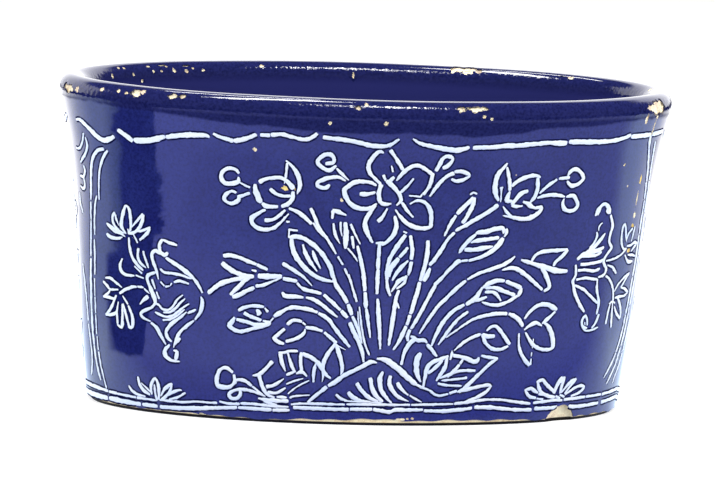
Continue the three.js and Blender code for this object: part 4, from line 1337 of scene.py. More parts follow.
right_ground_plants = {
    plain: [
        [(14.8, 37.4, 0.8), (12.6, 35.6, 1.15), (10.7, 32, 0.9), (9.7, 26.7, 0.7)],
        [(13, 38.6, 0.45), (14.5, 37.9, 0.8), (16, 37, 0.9), (19, 36.9, 0.8), (20, 36, 0.5)],
        [(20.4, 35.1, 0.8), (22.5, 33, 0.8), (24.9, 30.3, 0.5)],
        [(20.3, 17, 0.5), (20.6, 21, 0.8), (21.3, 25.2), (23.5, 27.6), (27, 29, 0.9), (30, 30.2, 0.7)],
        [(22, 23, 0.7), (24.5, 25, 0.9), (27.5, 28.3, 0.8)],
        [(29.7, 29.6, 0.7), (29.3, 26), (27.7, 22.7, 0.9), (26, 19.8, 0.4)],
        [(31.2, 28.9, 0.5), (31.7, 31, 0.7), (31.6, 32.3, 0.3)],
        [(27.5, 20.8, 0.4), (31, 22.2, 0.7), (35, 23.6, 0.75), (39, 24, 0.75), (43, 23.9, 0.5)],
        [(28.5, 19.8, 0.35), (33, 20.1, 0.6), (39.5, 20.8, 0.6)],
        [(27, 18.4, 0.5), (31, 17.7, 0.6), (37.4, 17.4, 0.5)],
        [(37, 29, 0.6), (36, 27, 0.75)],
        [(35.5, 26.4, 0.75), (33, 23.3, 0.8), (30.7, 21.5, 0.5)],
        [(32.6, 30.4, 0.9), (35.5, 30, 0.9), (39, 28.9, 1.05), (42, 27.7, 1.15), (43.8, 28.3, 1),
         (44.1, 29.3, 0.5)],
        [(45.5, 30.2, 0.4), (48, 29.6, 0.75), (52.9, 28.8, 0.7)],
        [(52.9, 28.7, 0.6), (49.7, 26.7, 0.9), (45, 22.2, 0.9), (41, 18.2, 1.05), (37.2, 14.6, 0.5)],
        [(36.3, 14.9, 0.5), (39.5, 15.8, 0.95), (45, 16.8, 0.8), (50, 17.6, 0.85), (51.6, 16.9, 0.5)],
        [(51.3, 16.6, 0.5), (49.5, 14.6, 0.8), (45, 12.2, 0.8), (40.5, 10.6, 0.5)],
    ],
    thick: [
        [(17.6, 31.4, 0.7), (16.4, 28.5), (16.5, 24.5, 1.05), (17.3, 21.8, 0.85), (18.8, 19.4, 0.45)],
    ],
}
paint_long_sides({
    "mound": mound,
    "stems": stems,
    "centre_flower": centre_flower,
    "centre_buds": centre_buds,
    "left_flower": left_flower,
    "right_flower": right_flower,
    "left_leaves": left_leaves,
    "middle_leaf": middle_leaf,
    "right_leaf": right_leaf,
    "left_lily": left_lily,
    "right_lily": right_lily,
    "left_buds": left_buds,
    "right_buds": right_buds,
    "right_trefoil": right_trefoil,
    "left_ground_plants": left_ground_plants,
    "berries": berries,
    "right_ground_plants": right_ground_plants,
})

# Shell flowers and sprigs. Each side of the bouquet has a shell-like flower with leafy sprigs, and small
# tufts stand on the foot lines. The strokes are thinner here, where the wall turns away.

left_shell = {
    fine: [
        [(-96.8, 46.8, 1.06), (-95.5, 46.3, 0.88), (-94, 44.9, 0.88), (-91.5, 44.6, 0.88),
         (-89.3, 46.3, 0.88), (-87.3, 49.3, 0.88), (-84.9, 51.4, 0.62)],
        [(-93.3, 43.5, 0.79), (-90.8, 43.8, 0.88), (-88.3, 45.5, 0.88), (-85.5, 48.5, 0.88),
         (-83.9, 50, 0.44)],
        [(-97.2, 43.1, 0.7), (-94, 42, 0.88), (-91.3, 41.8, 0.97), (-88.5, 43, 0.88), (-85, 46, 0.88),
         (-82.2, 48, 0.53)],
        [(-93.7, 40.3, 0.7), (-90.5, 40.9, 0.88), (-87.5, 42.5, 0.88), (-84.2, 45.4, 0.53)],
        [(-82.4, 44.2, 0.79), (-79.2, 45.8, 0.7)],
        [(-88.3, 56.7, 0.79), (-86, 57.4, 1.06), (-82.2, 56.6, 0.7)],
        [(-94.4, 56.1, 0.79), (-93.1, 54.8, 0.7)],
        [(-92.2, 54.4, 0.7), (-90.8, 54.8, 0.62)],
        [(-90.1, 55.2, 0.53), (-89.7, 55.9, 0.53)],
    ],
    plain: [
        [(-87.1, 72.3, 0.62), (-90, 73, 0.79), (-93.1, 73.9, 0.53)],
        [(-93.5, 73.9, 0.7), (-94.8, 71.5, 0.88), (-94.3, 69.2, 0.79), (-92.6, 67.6, 0.88),
         (-91.2, 68.7, 0.66)],
        [(-92, 67.4, 0.53), (-95.5, 68.7, 0.79), (-97, 69, 0.79), (-98.2, 67.3, 0.79), (-97.6, 64, 0.79),
         (-96.4, 61, 0.79), (-95.6, 57.4, 0.26)],
        [(-91.8, 66.4, 0.62), (-88, 64.5, 0.97), (-84, 62.1, 0.97), (-81, 60, 0.79), (-78.5, 57.3, 0.7),
         (-76.2, 53.4, 0.53)],
        [(-76.7, 51.3, 0.4), (-76.1, 49.3, 0.88), (-77, 45.3, 0.79), (-79.3, 41.8, 0.44)],
        [(-80.1, 41.1, 0.53), (-83, 38.8, 0.75), (-86, 36, 0.7), (-87.8, 33, 0.7), (-89.2, 29.3, 0.26)],
        [(-86.3, 33.1, 0.62), (-88, 31.5, 0.84), (-89, 29.9, 0.26)],
        [(-94.5, 61.5, 0.44), (-92.5, 60.3, 0.7), (-90, 60.3, 0.62), (-86, 60, 0.62), (-81, 58.8, 0.35)],
        [(-97, 59.9, 0.62), (-99.6, 58.8, 0.97), (-100.8, 57.2, 0.79), (-99.5, 53.5, 0.88),
         (-97.8, 49.5, 1.01), (-97.1, 46.9, 0.88)],
        [(-97.3, 46.9, 0.79), (-99, 45, 0.62), (-102, 43.6, 0.79), (-104.2, 42, 0.79), (-103.3, 40.3, 0.7),
         (-99.9, 39.2, 0.35)],
        [(-99.2, 38.4, 0.66), (-97, 36.8, 0.79), (-95, 33.5, 0.79), (-92.9, 30.2, 0.44)],
        [(-98.5, 56.6, 0.53), (-97.2, 53.2, 0.44)],
        [(-96.5, 51.6, 0.4), (-95.5, 49.2, 0.4)],
        [(-83.3, 44.4, 0.35), (-86, 42, 0.7), (-89, 39.8, 0.79), (-91.3, 37.5, 0.79), (-92.5, 35.3, 0.79),
         (-91.8, 33, 0.79), (-90.3, 31.6, 0.44)],
        [(-91.2, 29.9, 0.53), (-93.2, 27.5, 0.97), (-93, 25.3, 1.01), (-91, 23.7, 0.79),
         (-89.3, 23.4, 0.7), (-86.9, 23.3, 0.35)],
        [(-88.4, 24.2, 0.79), (-87.8, 27.2, 0.97), (-89, 27.8, 0.44)],
    ],
}
left_sprigs = {
    plain: [
        [(-110.2, 86.3, 0.62), (-111.3, 83.5, 0.92), (-112.3, 80, 0.97), (-112.6, 77.7, 0.97),
         (-110.5, 74.9, 0.35)],
        [(-110, 86.4, 0.44), (-108.6, 85.8, 0.7), (-107.8, 82, 0.88), (-107.8, 78, 0.79),
         (-108.6, 75.7, 0.35)],
        [(-116, 82.9, 0.53), (-117, 81, 0.79), (-116.8, 78.5, 0.7), (-114.5, 76, 0.62),
         (-111.4, 74.8, 0.26)],
        [(-115.8, 82.4, 0.44), (-115, 80, 0.53), (-114, 77.9, 0.26)],
        [(-120.3, 77.7, 0.53), (-117.5, 76.5, 0.79), (-114, 75, 0.7), (-111.1, 73.5, 0.26)],
        [(-119.9, 76.9, 0.35), (-116.5, 74.9, 0.48), (-113.4, 74.2, 0.26)],
        [(-120.5, 73.3, 0.7), (-118.5, 72.2, 0.84), (-115, 72.2, 0.7), (-112.4, 73, 0.26)],
        [(-107.3, 77.9, 0.35), (-104.5, 81, 0.62), (-102, 83.7, 0.66)],
        [(-101.7, 83.4, 0.62), (-102.4, 80.5, 0.88), (-104.3, 77.3, 0.79), (-107, 75.3, 0.7),
         (-109.1, 75.2, 0.7)],
        [(-105.6, 76.3, 0.35), (-102.5, 76.8, 0.62), (-98.9, 78.6, 0.44)],
        [(-99, 78.5, 0.44), (-100.2, 76, 0.88), (-103.6, 72.9, 0.44)],
        [(-106.6, 74.7, 0.35), (-104.9, 71.7, 0.62)],
        [(-109.3, 76.6, 0.4), (-108.9, 74.9, 0.53)],
        [(-109, 73, 0.57), (-108.8, 69, 0.7), (-107.5, 65, 0.79), (-105, 62, 0.79), (-102.8, 60.3, 0.44)],
        [(-104.5, 69, 0.48), (-105, 66, 0.62), (-104, 63.5, 0.7), (-101.4, 61.6, 0.26)],
        [(-102.3, 68.1, 0.4), (-101.3, 65, 0.62), (-100.1, 61.7, 0.35)],
        [(-112.8, 63.8, 0.44), (-114, 61, 0.88), (-113.3, 58.5, 0.92), (-111, 57.4, 0.79),
         (-107.2, 57.5, 0.44)],
        [(-106, 57.7, 0.44), (-102.7, 57, 0.4)],
        [(-106.5, 61.4, 0.44), (-103.4, 59, 0.4)],
        [(-122.3, 54.7, 0.35), (-120, 55, 0.62), (-117.5, 54, 0.62), (-113.7, 51.9, 0.35)],
        [(-123.6, 52.9, 0.7), (-121.5, 51.5, 0.75), (-119.8, 50.2, 0.62), (-115.7, 50.6, 0.35)],
        [(-119.8, 50, 0.35), (-121.3, 48.3, 0.62), (-123.9, 46.7, 0.53)],
        [(-123.7, 46.6, 0.53), (-120.5, 46.7, 0.79), (-117.8, 46.6, 0.62), (-116.7, 47.9, 0.35)],
        [(-117, 47.6, 0.44), (-118.3, 44.8, 0.7), (-120.3, 41.5, 0.7), (-122.8, 39.3, 0.44)],
        [(-122.7, 39.2, 0.62), (-119.5, 39.6, 0.79), (-116.8, 41, 0.7), (-116.1, 43.1, 0.35)],
        [(-115.6, 45.3, 0.35), (-116.4, 41, 0.62), (-116.3, 36.4, 0.66)],
        [(-116.3, 35.7, 0.44), (-114.2, 35, 0.79), (-113.6, 38, 0.79), (-113.5, 44.6, 0.44)],
        [(-113, 44.8, 0.44), (-111.7, 40.5, 0.7), (-110.3, 36.2, 0.7)],
        [(-110.4, 35.7, 0.7), (-108.6, 35.9, 0.79), (-108.4, 40, 0.79), (-110.3, 44.3, 0.53)],
        [(-110.7, 45.2, 0.44), (-113, 48.1, 0.35)],
        [(-114.5, 49.2, 0.7), (-111.5, 51.2, 0.79), (-108.5, 52.5, 0.7), (-106.2, 52.9, 0.53)],
        [(-105.3, 53, 0.48), (-102.9, 53, 0.4)],
        [(-102.2, 52.5, 0.4), (-100.1, 50.9, 0.22)],
        [(-104.4, 45.9, 0.35), (-102.5, 48, 0.79), (-100.7, 49.3, 0.75)],
    ],
}
right_shell = {
    plain: [
        [(93.8, 88.1, 0.7), (94.5, 90.3, 0.88), (96.1, 92, 0.97), (98, 92.8, 0.88), (99.8, 91.7, 1.06),
         (101.3, 90, 1.06), (102.1, 88.5, 0.44)],
        [(100.6, 91.2, 0.79), (100, 89.4, 0.7), (101.4, 88.6, 0.62)],
        [(95, 88.3, 0.53), (95.4, 90, 0.79), (96, 91.3, 0.7)],
        [(102.7, 87.4, 0.62), (104, 85.2, 0.84), (105, 82.8, 0.97), (104.4, 80, 0.79), (104.1, 76.7, 0.79),
         (105.2, 74.9, 0.79), (106.2, 73.4, 0.84), (104.6, 71.4, 0.7), (103.2, 69.7, 0.62),
         (102.6, 67.7, 0.7), (103.7, 66, 0.79), (104.8, 64.4, 0.88), (103.8, 62.1, 0.75),
         (100.8, 61.3, 0.53)],
        [(98.3, 84.5, 0.31), (97.5, 84, 0.44), (96.8, 82.8, 0.44), (96.9, 81.7, 0.31)],
        [(96, 80.6, 0.53), (96.4, 79.1, 0.7), (95.4, 76.5, 0.7), (93.4, 74.4, 0.62)],
        [(93, 73.6, 0.62), (96, 74.8, 0.97), (98.7, 77.3, 0.97), (100.8, 79.8, 0.57)],
        [(88.6, 70.7, 0.44), (93, 70.7, 0.7), (97.5, 70.9, 0.79), (100.2, 72, 0.62)],
        [(89.5, 67.4, 0.7), (95, 67.5, 0.79), (100, 68, 0.79), (103.1, 68.9, 0.53)],
        [(88.4, 65, 0.7), (92.7, 64.9, 0.7), (97.4, 64.2, 0.75), (100.4, 64.9, 0.7)],
        [(88.2, 61, 0.53), (92.7, 61.5, 0.7), (97, 60.9, 0.7), (99.9, 60.4, 0.62)],
        [(86.6, 67.2, 0.7), (87.1, 65, 0.75), (87.3, 63, 0.7), (86.2, 61, 0.7), (86.6, 59, 0.84),
         (88.3, 54.8, 0.84), (91, 51, 0.84), (94.5, 47.1, 0.62)],
        [(100.2, 60.3, 0.53), (100.3, 57.9, 0.79), (101, 54.9, 0.79), (102.6, 51.2, 0.84),
         (102.9, 48.7, 0.7), (102.4, 45.6, 0.53)],
        [(87.7, 58.6, 0.62), (92.7, 56.6, 0.7), (96.3, 54.1, 0.7), (99.9, 51.6, 0.7), (101.9, 50.3, 0.53)],
        [(95.8, 45.2, 0.53), (94.4, 44.3, 0.7), (94, 42, 0.79), (95.3, 40.2, 0.79), (97.3, 39.9, 0.44)],
        [(95.8, 45.1, 0.53), (96.9, 43.7, 0.62), (97.4, 41.2, 0.53)],
        [(95.1, 39.8, 0.44), (97.2, 38.7, 0.53), (100.8, 38.8, 0.53), (104.1, 39.6, 0.31)],
        [(100.6, 39.7, 0.44), (102.5, 41.8, 0.7), (103.9, 45, 0.66)],
        [(95.9, 42.2, 0.35), (96.1, 41.4, 0.35)],
    ],
    blot: [
        [(87.2, 69.9, 0.31), (89.8, 71.4, 0.7), (94, 72.5, 0.88), (98, 72.9, 0.75), (101.2, 73.9, 0.4)],
    ],
}
right_sprigs = {
    plain: [
        [(104.3, 68, 0.44), (107.5, 68.3, 0.57), (110.6, 68.8, 0.57), (114.1, 70, 0.62), (117, 72.1, 0.62)],
        [(112.9, 83, 0.62), (112, 80.4, 0.66), (112.4, 76.4, 0.7), (114, 73, 0.7), (115.9, 71.7, 0.62)],
        [(113.4, 83, 0.62), (114.5, 80.9, 0.66), (115.3, 78.1, 0.62), (116.4, 75.5, 0.44)],
        [(116.3, 76.2, 0.53), (117.6, 78.7, 0.66), (120, 80.3, 0.53)],
        [(122.1, 81, 0.62), (121.4, 77.9, 0.66), (120.8, 75.1, 0.44)],
        [(117.7, 73.2, 0.53), (120.6, 73.2, 0.66), (123.9, 74.1, 0.7), (126.7, 73.5, 0.53)],
        [(126.5, 72.8, 0.44), (124.1, 72, 0.62), (122, 70.6, 0.44)],
        [(117, 69.2, 0.44), (119.6, 66.7, 0.66), (122, 65.9, 0.79), (124.3, 66, 0.53)],
        [(119.6, 69.2, 0.44), (123.4, 68.8, 0.62), (126.4, 68, 0.53)],
        [(105.6, 66, 0.44), (109.1, 64.8, 0.66), (111.9, 62.2, 0.7)],
        [(105.4, 61.4, 0.53), (107.4, 60.3, 0.62), (109.9, 57.8, 0.66), (111.6, 54.9, 0.66),
         (112.7, 50.4, 0.53)],
        [(112.9, 54.4, 0.44), (114.7, 56.8, 0.62), (117.1, 58.5, 0.62), (120, 60, 0.62), (123.2, 61, 0.44)],
        [(122.9, 60.5, 0.44), (120.6, 58.8, 0.57), (118.7, 56.7, 0.57), (117.6, 55.7, 0.44)],
        [(117.8, 55.4, 0.44), (121.5, 54.3, 0.66), (124.1, 52.9, 0.75)],
        [(124, 52.5, 0.53), (121.5, 51.5, 0.66), (117.5, 51.6, 0.62), (114, 51.4, 0.44)],
        [(115.9, 51.2, 0.53), (117.9, 48.8, 0.79), (119.9, 45.6, 0.88), (120.7, 42.6, 0.62)],
        [(120, 42, 0.7), (118, 43.4, 0.7), (116, 45.1, 0.7), (114.4, 47.4, 0.44)],
        [(110.8, 49.3, 0.44), (110, 45.8, 0.66), (109.4, 40.8, 0.62)],
        [(112.5, 49.2, 0.44), (112.9, 45, 0.66), (113.6, 39, 0.75)],
        [(110.2, 49.3, 0.35), (112.2, 49.9, 0.53), (114.2, 49.2, 0.35)],
    ],
}
foot_tufts = {
    plain: [
        [(68.6, 14.8, 0.44), (70.2, 15.2, 0.75), (71.8, 15.4, 0.75), (73.3, 14.3, 0.84),
         (75.2, 13.4, 0.62)],
        [(68.9, 14.4, 0.53), (70, 13, 0.75), (71.7, 11.8, 0.79), (74.5, 11.1, 0.53)],
        [(74.2, 18, 0.57), (75.8, 18.6, 0.84), (77.4, 18.6, 0.75), (79, 17, 0.79), (81.3, 15.2, 0.84),
         (83.3, 13.9, 0.79), (84.5, 12.8, 0.62)],
        [(74.6, 17.6, 0.62), (75.3, 15.9, 0.84), (76.6, 14, 0.88), (78.5, 12.8, 0.79), (81, 12, 0.62)],
        [(76.1, 12.8, 0.62), (79, 12.3, 0.7), (82, 11.3, 0.79), (84.7, 11, 0.7)],
        [(75.5, 10.8, 0.35), (78.5, 10.3, 0.44)],
        [(84.4, 13, 0.7), (85, 15.4, 0.97), (86.2, 17.8, 1.06), (87.5, 19.1, 0.79)],
        [(88.6, 19.3, 0.79), (88.3, 17, 0.97), (87.8, 14.8, 0.88), (87.6, 12.6, 0.53)],
        [(86.8, 17.2, 0.79), (87.9, 18.6, 0.79)],
        [(88.3, 12.7, 0.44), (90, 14.6, 0.75), (92.7, 17, 0.97), (95.4, 18.1, 0.7)],
        [(90.5, 12.2, 0.53), (92.3, 14.6, 0.75), (94.5, 16.8, 0.79), (95.7, 17.9, 0.44)],
        [(90.8, 11.8, 0.44), (93.5, 13.2, 0.66), (96.5, 14.5, 0.7), (99.5, 14.9, 0.75),
         (101.5, 14.2, 0.62)],
        [(101.5, 13.8, 0.7), (100, 12.6, 0.75), (97.5, 11.5, 0.66), (94.5, 10.8, 0.44)],
        [(85.6, 11.3, 0.53), (87.7, 10.2, 0.7)],
        [(87.8, 11.6, 0.53), (90.2, 10.8, 0.53)],
        [(-112, 10.3, 0.44), (-110.5, 8.5, 0.66), (-107.5, 7.3, 0.66), (-104, 6.9, 0.44)],
        [(-107, 14.7, 0.53), (-106.3, 11.7, 0.88), (-104.2, 9.2, 0.88), (-101.6, 8, 0.53)],
        [(-105.3, 12.3, 0.35), (-102.7, 10.4, 0.53), (-100.6, 8.8, 0.35)],
        [(-100.5, 8.3, 0.44), (-100.6, 12, 0.75), (-98.7, 15.1, 0.7)],
        [(-98.4, 15.2, 0.53), (-97.2, 13.3, 0.79), (-96.9, 9.3, 0.79), (-97.2, 6.4, 0.53)],
        [(-99, 12.2, 0.44), (-98.7, 8.6, 0.62), (-98, 6, 0.44)],
        [(-96, 8, 0.44), (-93.6, 11.5, 0.79), (-90.6, 13.5, 0.62)],
        [(-90.7, 12.9, 0.53), (-91.6, 10.3, 0.7), (-94, 7.7, 0.7), (-95.5, 6.2, 0.44)],
        [(-95.8, 6.6, 0.44), (-92, 9.1, 0.62), (-88, 11, 0.62), (-86.3, 11.2, 0.35)],
        [(-84.6, 10.1, 0.44), (-88, 8.1, 0.62), (-92, 6.8, 0.44)],
    ],
}
paint_long_sides({
    "left_shell": left_shell,
    "left_sprigs": left_sprigs,
    "right_shell": right_shell,
    "right_sprigs": right_sprigs,
    "foot_tufts": foot_tufts,
})

# End sprays. Each rounded end has a leafy stem with a five-petalled flower between the frames of the
# two long sides, painted in the same enamel.

end_spray = {
    fine: [
        [(-4.2, 91.5, 0.8), (-3, 93), (-2.4, 95, 0.8)],
        [(4.4, 91.5, 0.8), (3.2, 93), (2.6, 95, 0.8)],
        [(0, 91), (0, 94.5, 0.8)],
    ],
    plain: [
        [(0, 19, 0.7), (1.4, 26, 0.9), (0.6, 35, 0.9), (-1.4, 43, 0.9), (-1.5, 51, 0.9), (0.2, 59, 0.9),
         (1, 66, 0.9), (0.3, 73, 0.6)],
        [(-4.6, 22, 0.4), (-2.8, 18.6, 0.8), (0, 17, 0.6)],
        [(4.7, 22, 0.4), (3, 18.6, 0.8), (0, 17, 0.6)],
        [(1.3, 28.2, 0.5), (3.5, 31.6, 0.9), (6.8, 33.3, 0.5)],
        [(6.6, 32.8, 0.5), (4.6, 29.3, 0.8), (1.6, 26.8, 0.4)],
        [(0.8, 32, 0.5), (-1.8, 35.2, 0.9), (-5.4, 36.8, 0.5)],
        [(-5.3, 36.3, 0.5), (-3.2, 32.5, 0.8), (0.7, 30.2, 0.4)],
        [(-1.4, 43.5, 0.5), (-4, 46.8, 0.9), (-7.4, 48.2, 0.5)],
        [(-7.2, 47.7, 0.5), (-4.8, 43.8, 0.8), (-1.3, 41.7, 0.4)],
        [(-1.3, 46.8, 0.5), (1.6, 49.8, 0.9), (5.2, 51.2, 0.5)],
        [(5, 50.7, 0.5), (3, 47.2, 0.8), (-0.9, 44.9, 0.4)],
        [(0.2, 58.5, 0.5), (3, 61.4, 0.9), (6.7, 62.3, 0.5)],
        [(6.6, 61.8, 0.5), (4, 58.6, 0.8), (0, 56.7, 0.4)],
        [(0.3, 62, 0.5), (-2.7, 64.8, 0.9), (-6.3, 65.7, 0.5)],
        [(-6.2, 65.2, 0.5), (-3.9, 62.1, 0.8), (0, 60.2, 0.4)],
        [(1.5, 79.5, 0.7), (0.5, 80.9, 0.8), (-1.1, 80.5, 0.8), (-1.5, 79, 0.8), (-0.2, 78, 0.8),
         (1.2, 78.7, 0.6)],
        [(-1.4, 81.7, 0.5), (-2.6, 84.8, 0.9), (-0.4, 86.8, 0.9), (1.9, 85.2, 0.9), (1.2, 81.8, 0.5)],
        [(2.5, 81.1, 0.5), (5.4, 82.8, 0.9), (7.3, 80.6, 0.9), (5.5, 78.4, 0.9), (2.7, 79, 0.5)],
        [(2.4, 77.8, 0.5), (4.8, 75.6, 0.9), (3.8, 73.1, 0.9), (1.7, 73.4, 0.8), (1, 76.7, 0.5)],
        [(-1.1, 76.7, 0.5), (-1.9, 73.5, 0.8), (-4.3, 73.4, 0.9), (-5, 75.7, 0.9), (-2.4, 77.8, 0.5)],
        [(-2.7, 79.2, 0.5), (-5.7, 78.9, 0.9), (-7.3, 81, 0.9), (-5.1, 83, 0.9), (-2.4, 81.2, 0.5)],
    ],
    thick: [
        [(-9.5, 120.2, 0.6), (-6.5, 118.2, 0.85), (-3, 117.4, 0.85), (-0.6, 117.7, 0.8)],
        [(0.4, 117.8, 0.8), (3, 117.5, 0.85), (6.5, 118.3, 0.85), (9.5, 120.3, 0.6)],
    ],
}
off_end = -4
ends_of_pot = {"right": way_round / 4 + off_end, "left": way_round * 3 / 4 + off_end}
for end_name, end_start in ends_of_pot.items():
    painted(end_name + "_end_spray", end_spray, end_start)

# The stage. A white sheet on a table before a white backdrop, under soft lamps, with the camera where
# the photograph was taken from. The glaze mirrors the sheet, its front edge and the gap at its left.

# What the glaze mirrors of the table, in m. Each pair says where a part begins and where it is whole.
sheet_front = (-0.40, -0.20)
sheet_sides = (0.75, 0.55)
sheet_left = -0.288
sheet_left_edge = (-0.004, 0)
sheet_left_slope = 1.37
sheet_left_start = 0.067
left_sheet_front = (-0.085, -0.065)
left_sheet_right = (-0.335, -0.345)
behind_slope = 0.1
behind_from = (-0.046, -0.026)
patch_slope = 1.75
patch_side = (-0.331, -0.323)
patch_front = (-0.09, -0.08)

# The colours of light that the white parts give back, and the places where one goes over into another
sheet_light = (1.04, 1.15, 2.93, 1)
left_sheet_light = (0.74, 1.0, 1.3, 1)
left_from = (-0.288, -0.335)
right_light = (0.76, 0.84, 1.75, 1)
right_from = (0.05, 0.3)
foot_shade = (0.42, 0.47, 2.2, 1)
foot_shade_middle = 0.03
foot_shade_reach = (0.13, 0.062)
foot_shade_edge = (1.9, 1.0)
near_light = (2.5, 3.0, 3.7, 1)
beside_light = (1.6, 1.95, 2.7, 1)
beside_from = (0.16, 0.32)
level_with_pot = (-0.06, -0.005)
backdrop_glow = 2.4
left_glow = 4.2
left_glow_from = (-0.05, -0.2)
far_from = (0.05, 0.35)
table_grey = 0.62
table_glow = 0.63


def glow(tree, strength, colour=(1, 1, 1, 1)):
    return put(tree, "ShaderNodeEmission", Strength=strength, Color=colour).outputs[0]


def choose(tree, factor, first, second):
    return put(tree, "ShaderNodeMixShader", at={0: factor, 1: first, 2: second}).outputs[0]


def both(tree, first, second):
    """Where two masks overlap."""
    return work_out(tree, "MULTIPLY", first, second)


def either(tree, first, *others):
    """Where any of the masks is."""
    for other in others:
        first = work_out(tree, "MAXIMUM", first, other)
    return first


def white_parts(tree, x, y):
    """A mask of the table's white parts: the main sheet, whose left edge runs aslant, a second sheet at
    its left, a patch beside the pot's left end, and all that lies behind the pot."""
    left_edge = work_out(tree, "SUBTRACT", work_out(tree, "MULTIPLY", y, sheet_left_slope), sheet_left_start)
    past_edge = work_out(tree, "SUBTRACT", x, work_out(tree, "MAXIMUM", left_edge, sheet_left))
    main_sheet = both(tree, scaled(tree, y, *sheet_front), scaled(tree, past_edge, *sheet_left_edge))
    left_sheet = both(tree, scaled(tree, y, *left_sheet_front), scaled(tree, x, *left_sheet_right))
    behind = scaled(tree, work_out(tree, "ADD", y, work_out(tree, "MULTIPLY", x, behind_slope)), *behind_from)
    patch = work_out(tree, "ADD", y, work_out(tree, "MULTIPLY", x, patch_slope))
    patch = both(tree, scaled(tree, patch, *patch_side), scaled(tree, y, *patch_front))
    white = either(tree, main_sheet, left_sheet, behind, patch)
    return both(tree, white, scaled(tree, work_out(tree, "ABSOLUTE", x), *sheet_sides))


def light_on_sheet(tree, x, y):
    """The sheet's light: shaded round the pot's foot, and brighter beside and behind the pot."""
    across = work_out(tree, "DIVIDE", work_out(tree, "SUBTRACT", x, foot_shade_middle), foot_shade_reach[0])
    along_y = work_out(tree, "DIVIDE", y, foot_shade_reach[1])
    from_foot = put(tree, "ShaderNodeCombineXYZ", at={0: across, 1: along_y}).outputs[0]
    from_foot = put(tree, "ShaderNodeVectorMath", {"operation": "LENGTH"}, at={0: from_foot}).outputs["Value"]
    aside = scaled(tree, work_out(tree, "ABSOLUTE", x), *beside_from)
    light = mix_colour(tree, scaled(tree, x, *left_from), sheet_light, left_sheet_light)
    light = mix_colour(tree, scaled(tree, x, *right_from), light, right_light)
    light = mix_colour(tree, scaled(tree, from_foot, *foot_shade_edge), light, foot_shade)
    beside = mix_colour(tree, aside, near_light, beside_light)
    light = mix_colour(tree, scaled(tree, y, *level_with_pot), light, beside)
    far_left = scaled(tree, x, *left_glow_from)
    far_light = mix_colour(tree, far_left, (*grey(backdrop_glow), 1), (*grey(left_glow), 1))
    return mix_colour(tree, scaled(tree, y, *far_from), light, far_light)


def table_finish():
    material = bpy.data.materials.new("table")
    material.use_nodes = True
    tree = material.node_tree
    tree.nodes.remove(tree.nodes["Principled BSDF"])
    ray = put(tree, "ShaderNodeLightPath").outputs
    place = put(tree, "ShaderNodeNewGeometry").outputs["Position"]
    x, y, _ = put(tree, "ShaderNodeSeparateXYZ", Vector=place).outputs
    sheet = glow(tree, white_parts(tree, x, y), light_on_sheet(tree, x, y))
    matt = put(tree, "ShaderNodeBsdfDiffuse", Color=(*grey(table_grey), 1)).outputs[0]
    lit = put(tree, "ShaderNodeAddShader", at={0: matt, 1: glow(tree, table_glow)}).outputs[0]
    seen = choose(tree, ray["Is Camera Ray"], matt, lit)
    seen = choose(tree, ray["Is Glossy Ray"], seen, sheet)
    tree.links.new(seen, tree.nodes["Material Output"].inputs["Surface"])
    return material


table_size = 14
bpy.ops.mesh.primitive_plane_add(size=table_size, location=(0, 0, 0))
table = bpy.context.object
table.name = "table"
table.data.materials.append(table_finish())

# The room's light, and where in it the mirrored backdrop begins: how far back and up, and how much
# farther back at the right
room_light = 0.45
room_mirrored = 0.08
backdrop_back = (0.05, 0.25)
backdrop_top = (0.66, 0.58)
backdrop_turn = 0.4


def room():
    """Even light all round. The glaze mirrors a white backdrop low down behind the pot, and a dim room."""
    world = bpy.data.worlds.new("room")
    world.use_nodes = True
    tree = world.node_tree
    ray = put(tree, "ShaderNodeLightPath").outputs
    way = put(tree, "ShaderNodeTexCoord").outputs["Generated"]
    right, back, up = put(tree, "ShaderNodeSeparateXYZ", Vector=way).outputs
    right = work_out(tree, "MAXIMUM", right, 0)
    back = work_out(tree, "SUBTRACT", back, work_out(tree, "MULTIPLY", right, backdrop_turn))
    backdrop = both(tree, scaled(tree, back, *backdrop_back), scaled(tree, up, *backdrop_top))
    mirrored = scaled(tree, backdrop, 0, 1, room_mirrored, backdrop_glow)
    strength = put(tree, "ShaderNodeMix", at={0: ray["Is Glossy Ray"], 2: room_light, 3: mirrored}).outputs[0]
    strength = put(tree, "ShaderNodeMix", at={0: ray["Is Camera Ray"], 2: strength, 3: 1.0}).outputs[0]
    connect(tree, tree.nodes["Background"], {"Color": (1, 1, 1, 1), "Strength": strength})
    return world


bpy.context.scene.world = room()

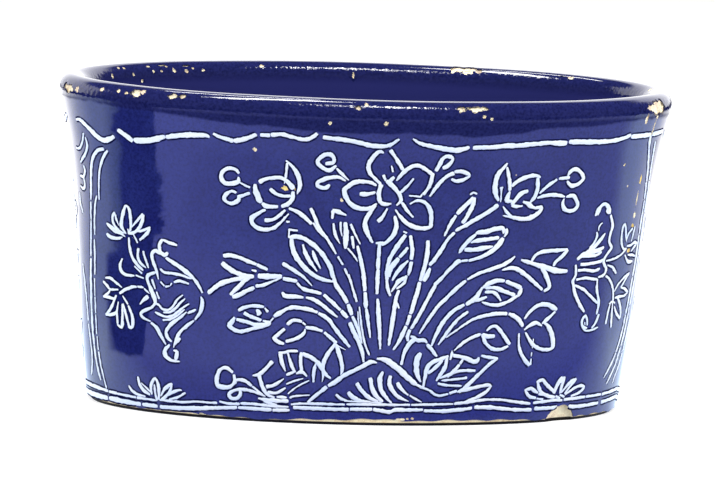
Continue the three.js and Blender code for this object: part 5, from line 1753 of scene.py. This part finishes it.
middle = Vector((0, 0, pot_height * MM / 2))


def lamp(name, place, size, power, mirrored):
    """A rectangular lamp that faces the middle of the pot."""
    light = bpy.data.lights.new(name, "AREA")
    light.shape = "RECTANGLE"
    light.size, light.size_y = size
    light.energy = power
    holder = bpy.data.objects.new(name, light)
    holder.location = place
    holder.rotation_euler = (Vector(place) - middle).to_track_quat("Z", "Y").to_euler()
    holder.visible_glossy = mirrored
    bpy.context.scene.collection.objects.link(holder)


lamp("overhead_strip", place=(-0.13, 0.12, 1.3), size=(0.64, 0.14), power=8, mirrored=True)
lamp("back_strip", place=(-0.08, 0.62, 1.22), size=(0.36, 0.07), power=2.2, mirrored=True)
lamp("window_strip", place=(0.12, -0.46, 1.2), size=(0.34, 0.22), power=3.0, mirrored=True)
lamp("window", place=(0.21, -0.40, 1.2), size=(0.14, 0.2), power=3.0, mirrored=True)
lamp("left_softbox", place=(-1.1, -0.6, 0.55), size=(0.8, 0.9), power=13, mirrored=False)
lamp("right_softbox", place=(1.1, -0.5, 0.55), size=(0.8, 0.9), power=13, mirrored=False)

photo_size = (717, 495)
camera_distance = 2.225
camera_up = math.radians(8.49)
camera_left = math.radians(9.79)
camera_roll = math.radians(2.66)
focal_pixels = 5290
centre_off = (2.2, 5.7)
sensor_width = 36

camera_data = bpy.data.cameras.new("camera")
camera_data.sensor_width = sensor_width
camera_data.lens = focal_pixels / photo_size[0] * sensor_width
camera_data.shift_x = -centre_off[0] / photo_size[0]
camera_data.shift_y = -centre_off[1] / photo_size[0]
camera = bpy.data.objects.new("camera", camera_data)
bpy.context.scene.collection.objects.link(camera)
to_camera = Vector((
    -math.cos(camera_up) * math.sin(camera_left),
    -math.cos(camera_up) * math.cos(camera_left),
    math.sin(camera_up),
))
camera.location = middle + to_camera * camera_distance
camera_turn = to_camera.to_track_quat("Z", "Y").to_matrix() @ Matrix.Rotation(camera_roll, 3, "Z")
camera.rotation_euler = camera_turn.to_euler()
bpy.context.scene.camera = camera
bpy.context.scene.view_settings.view_transform = "Standard"
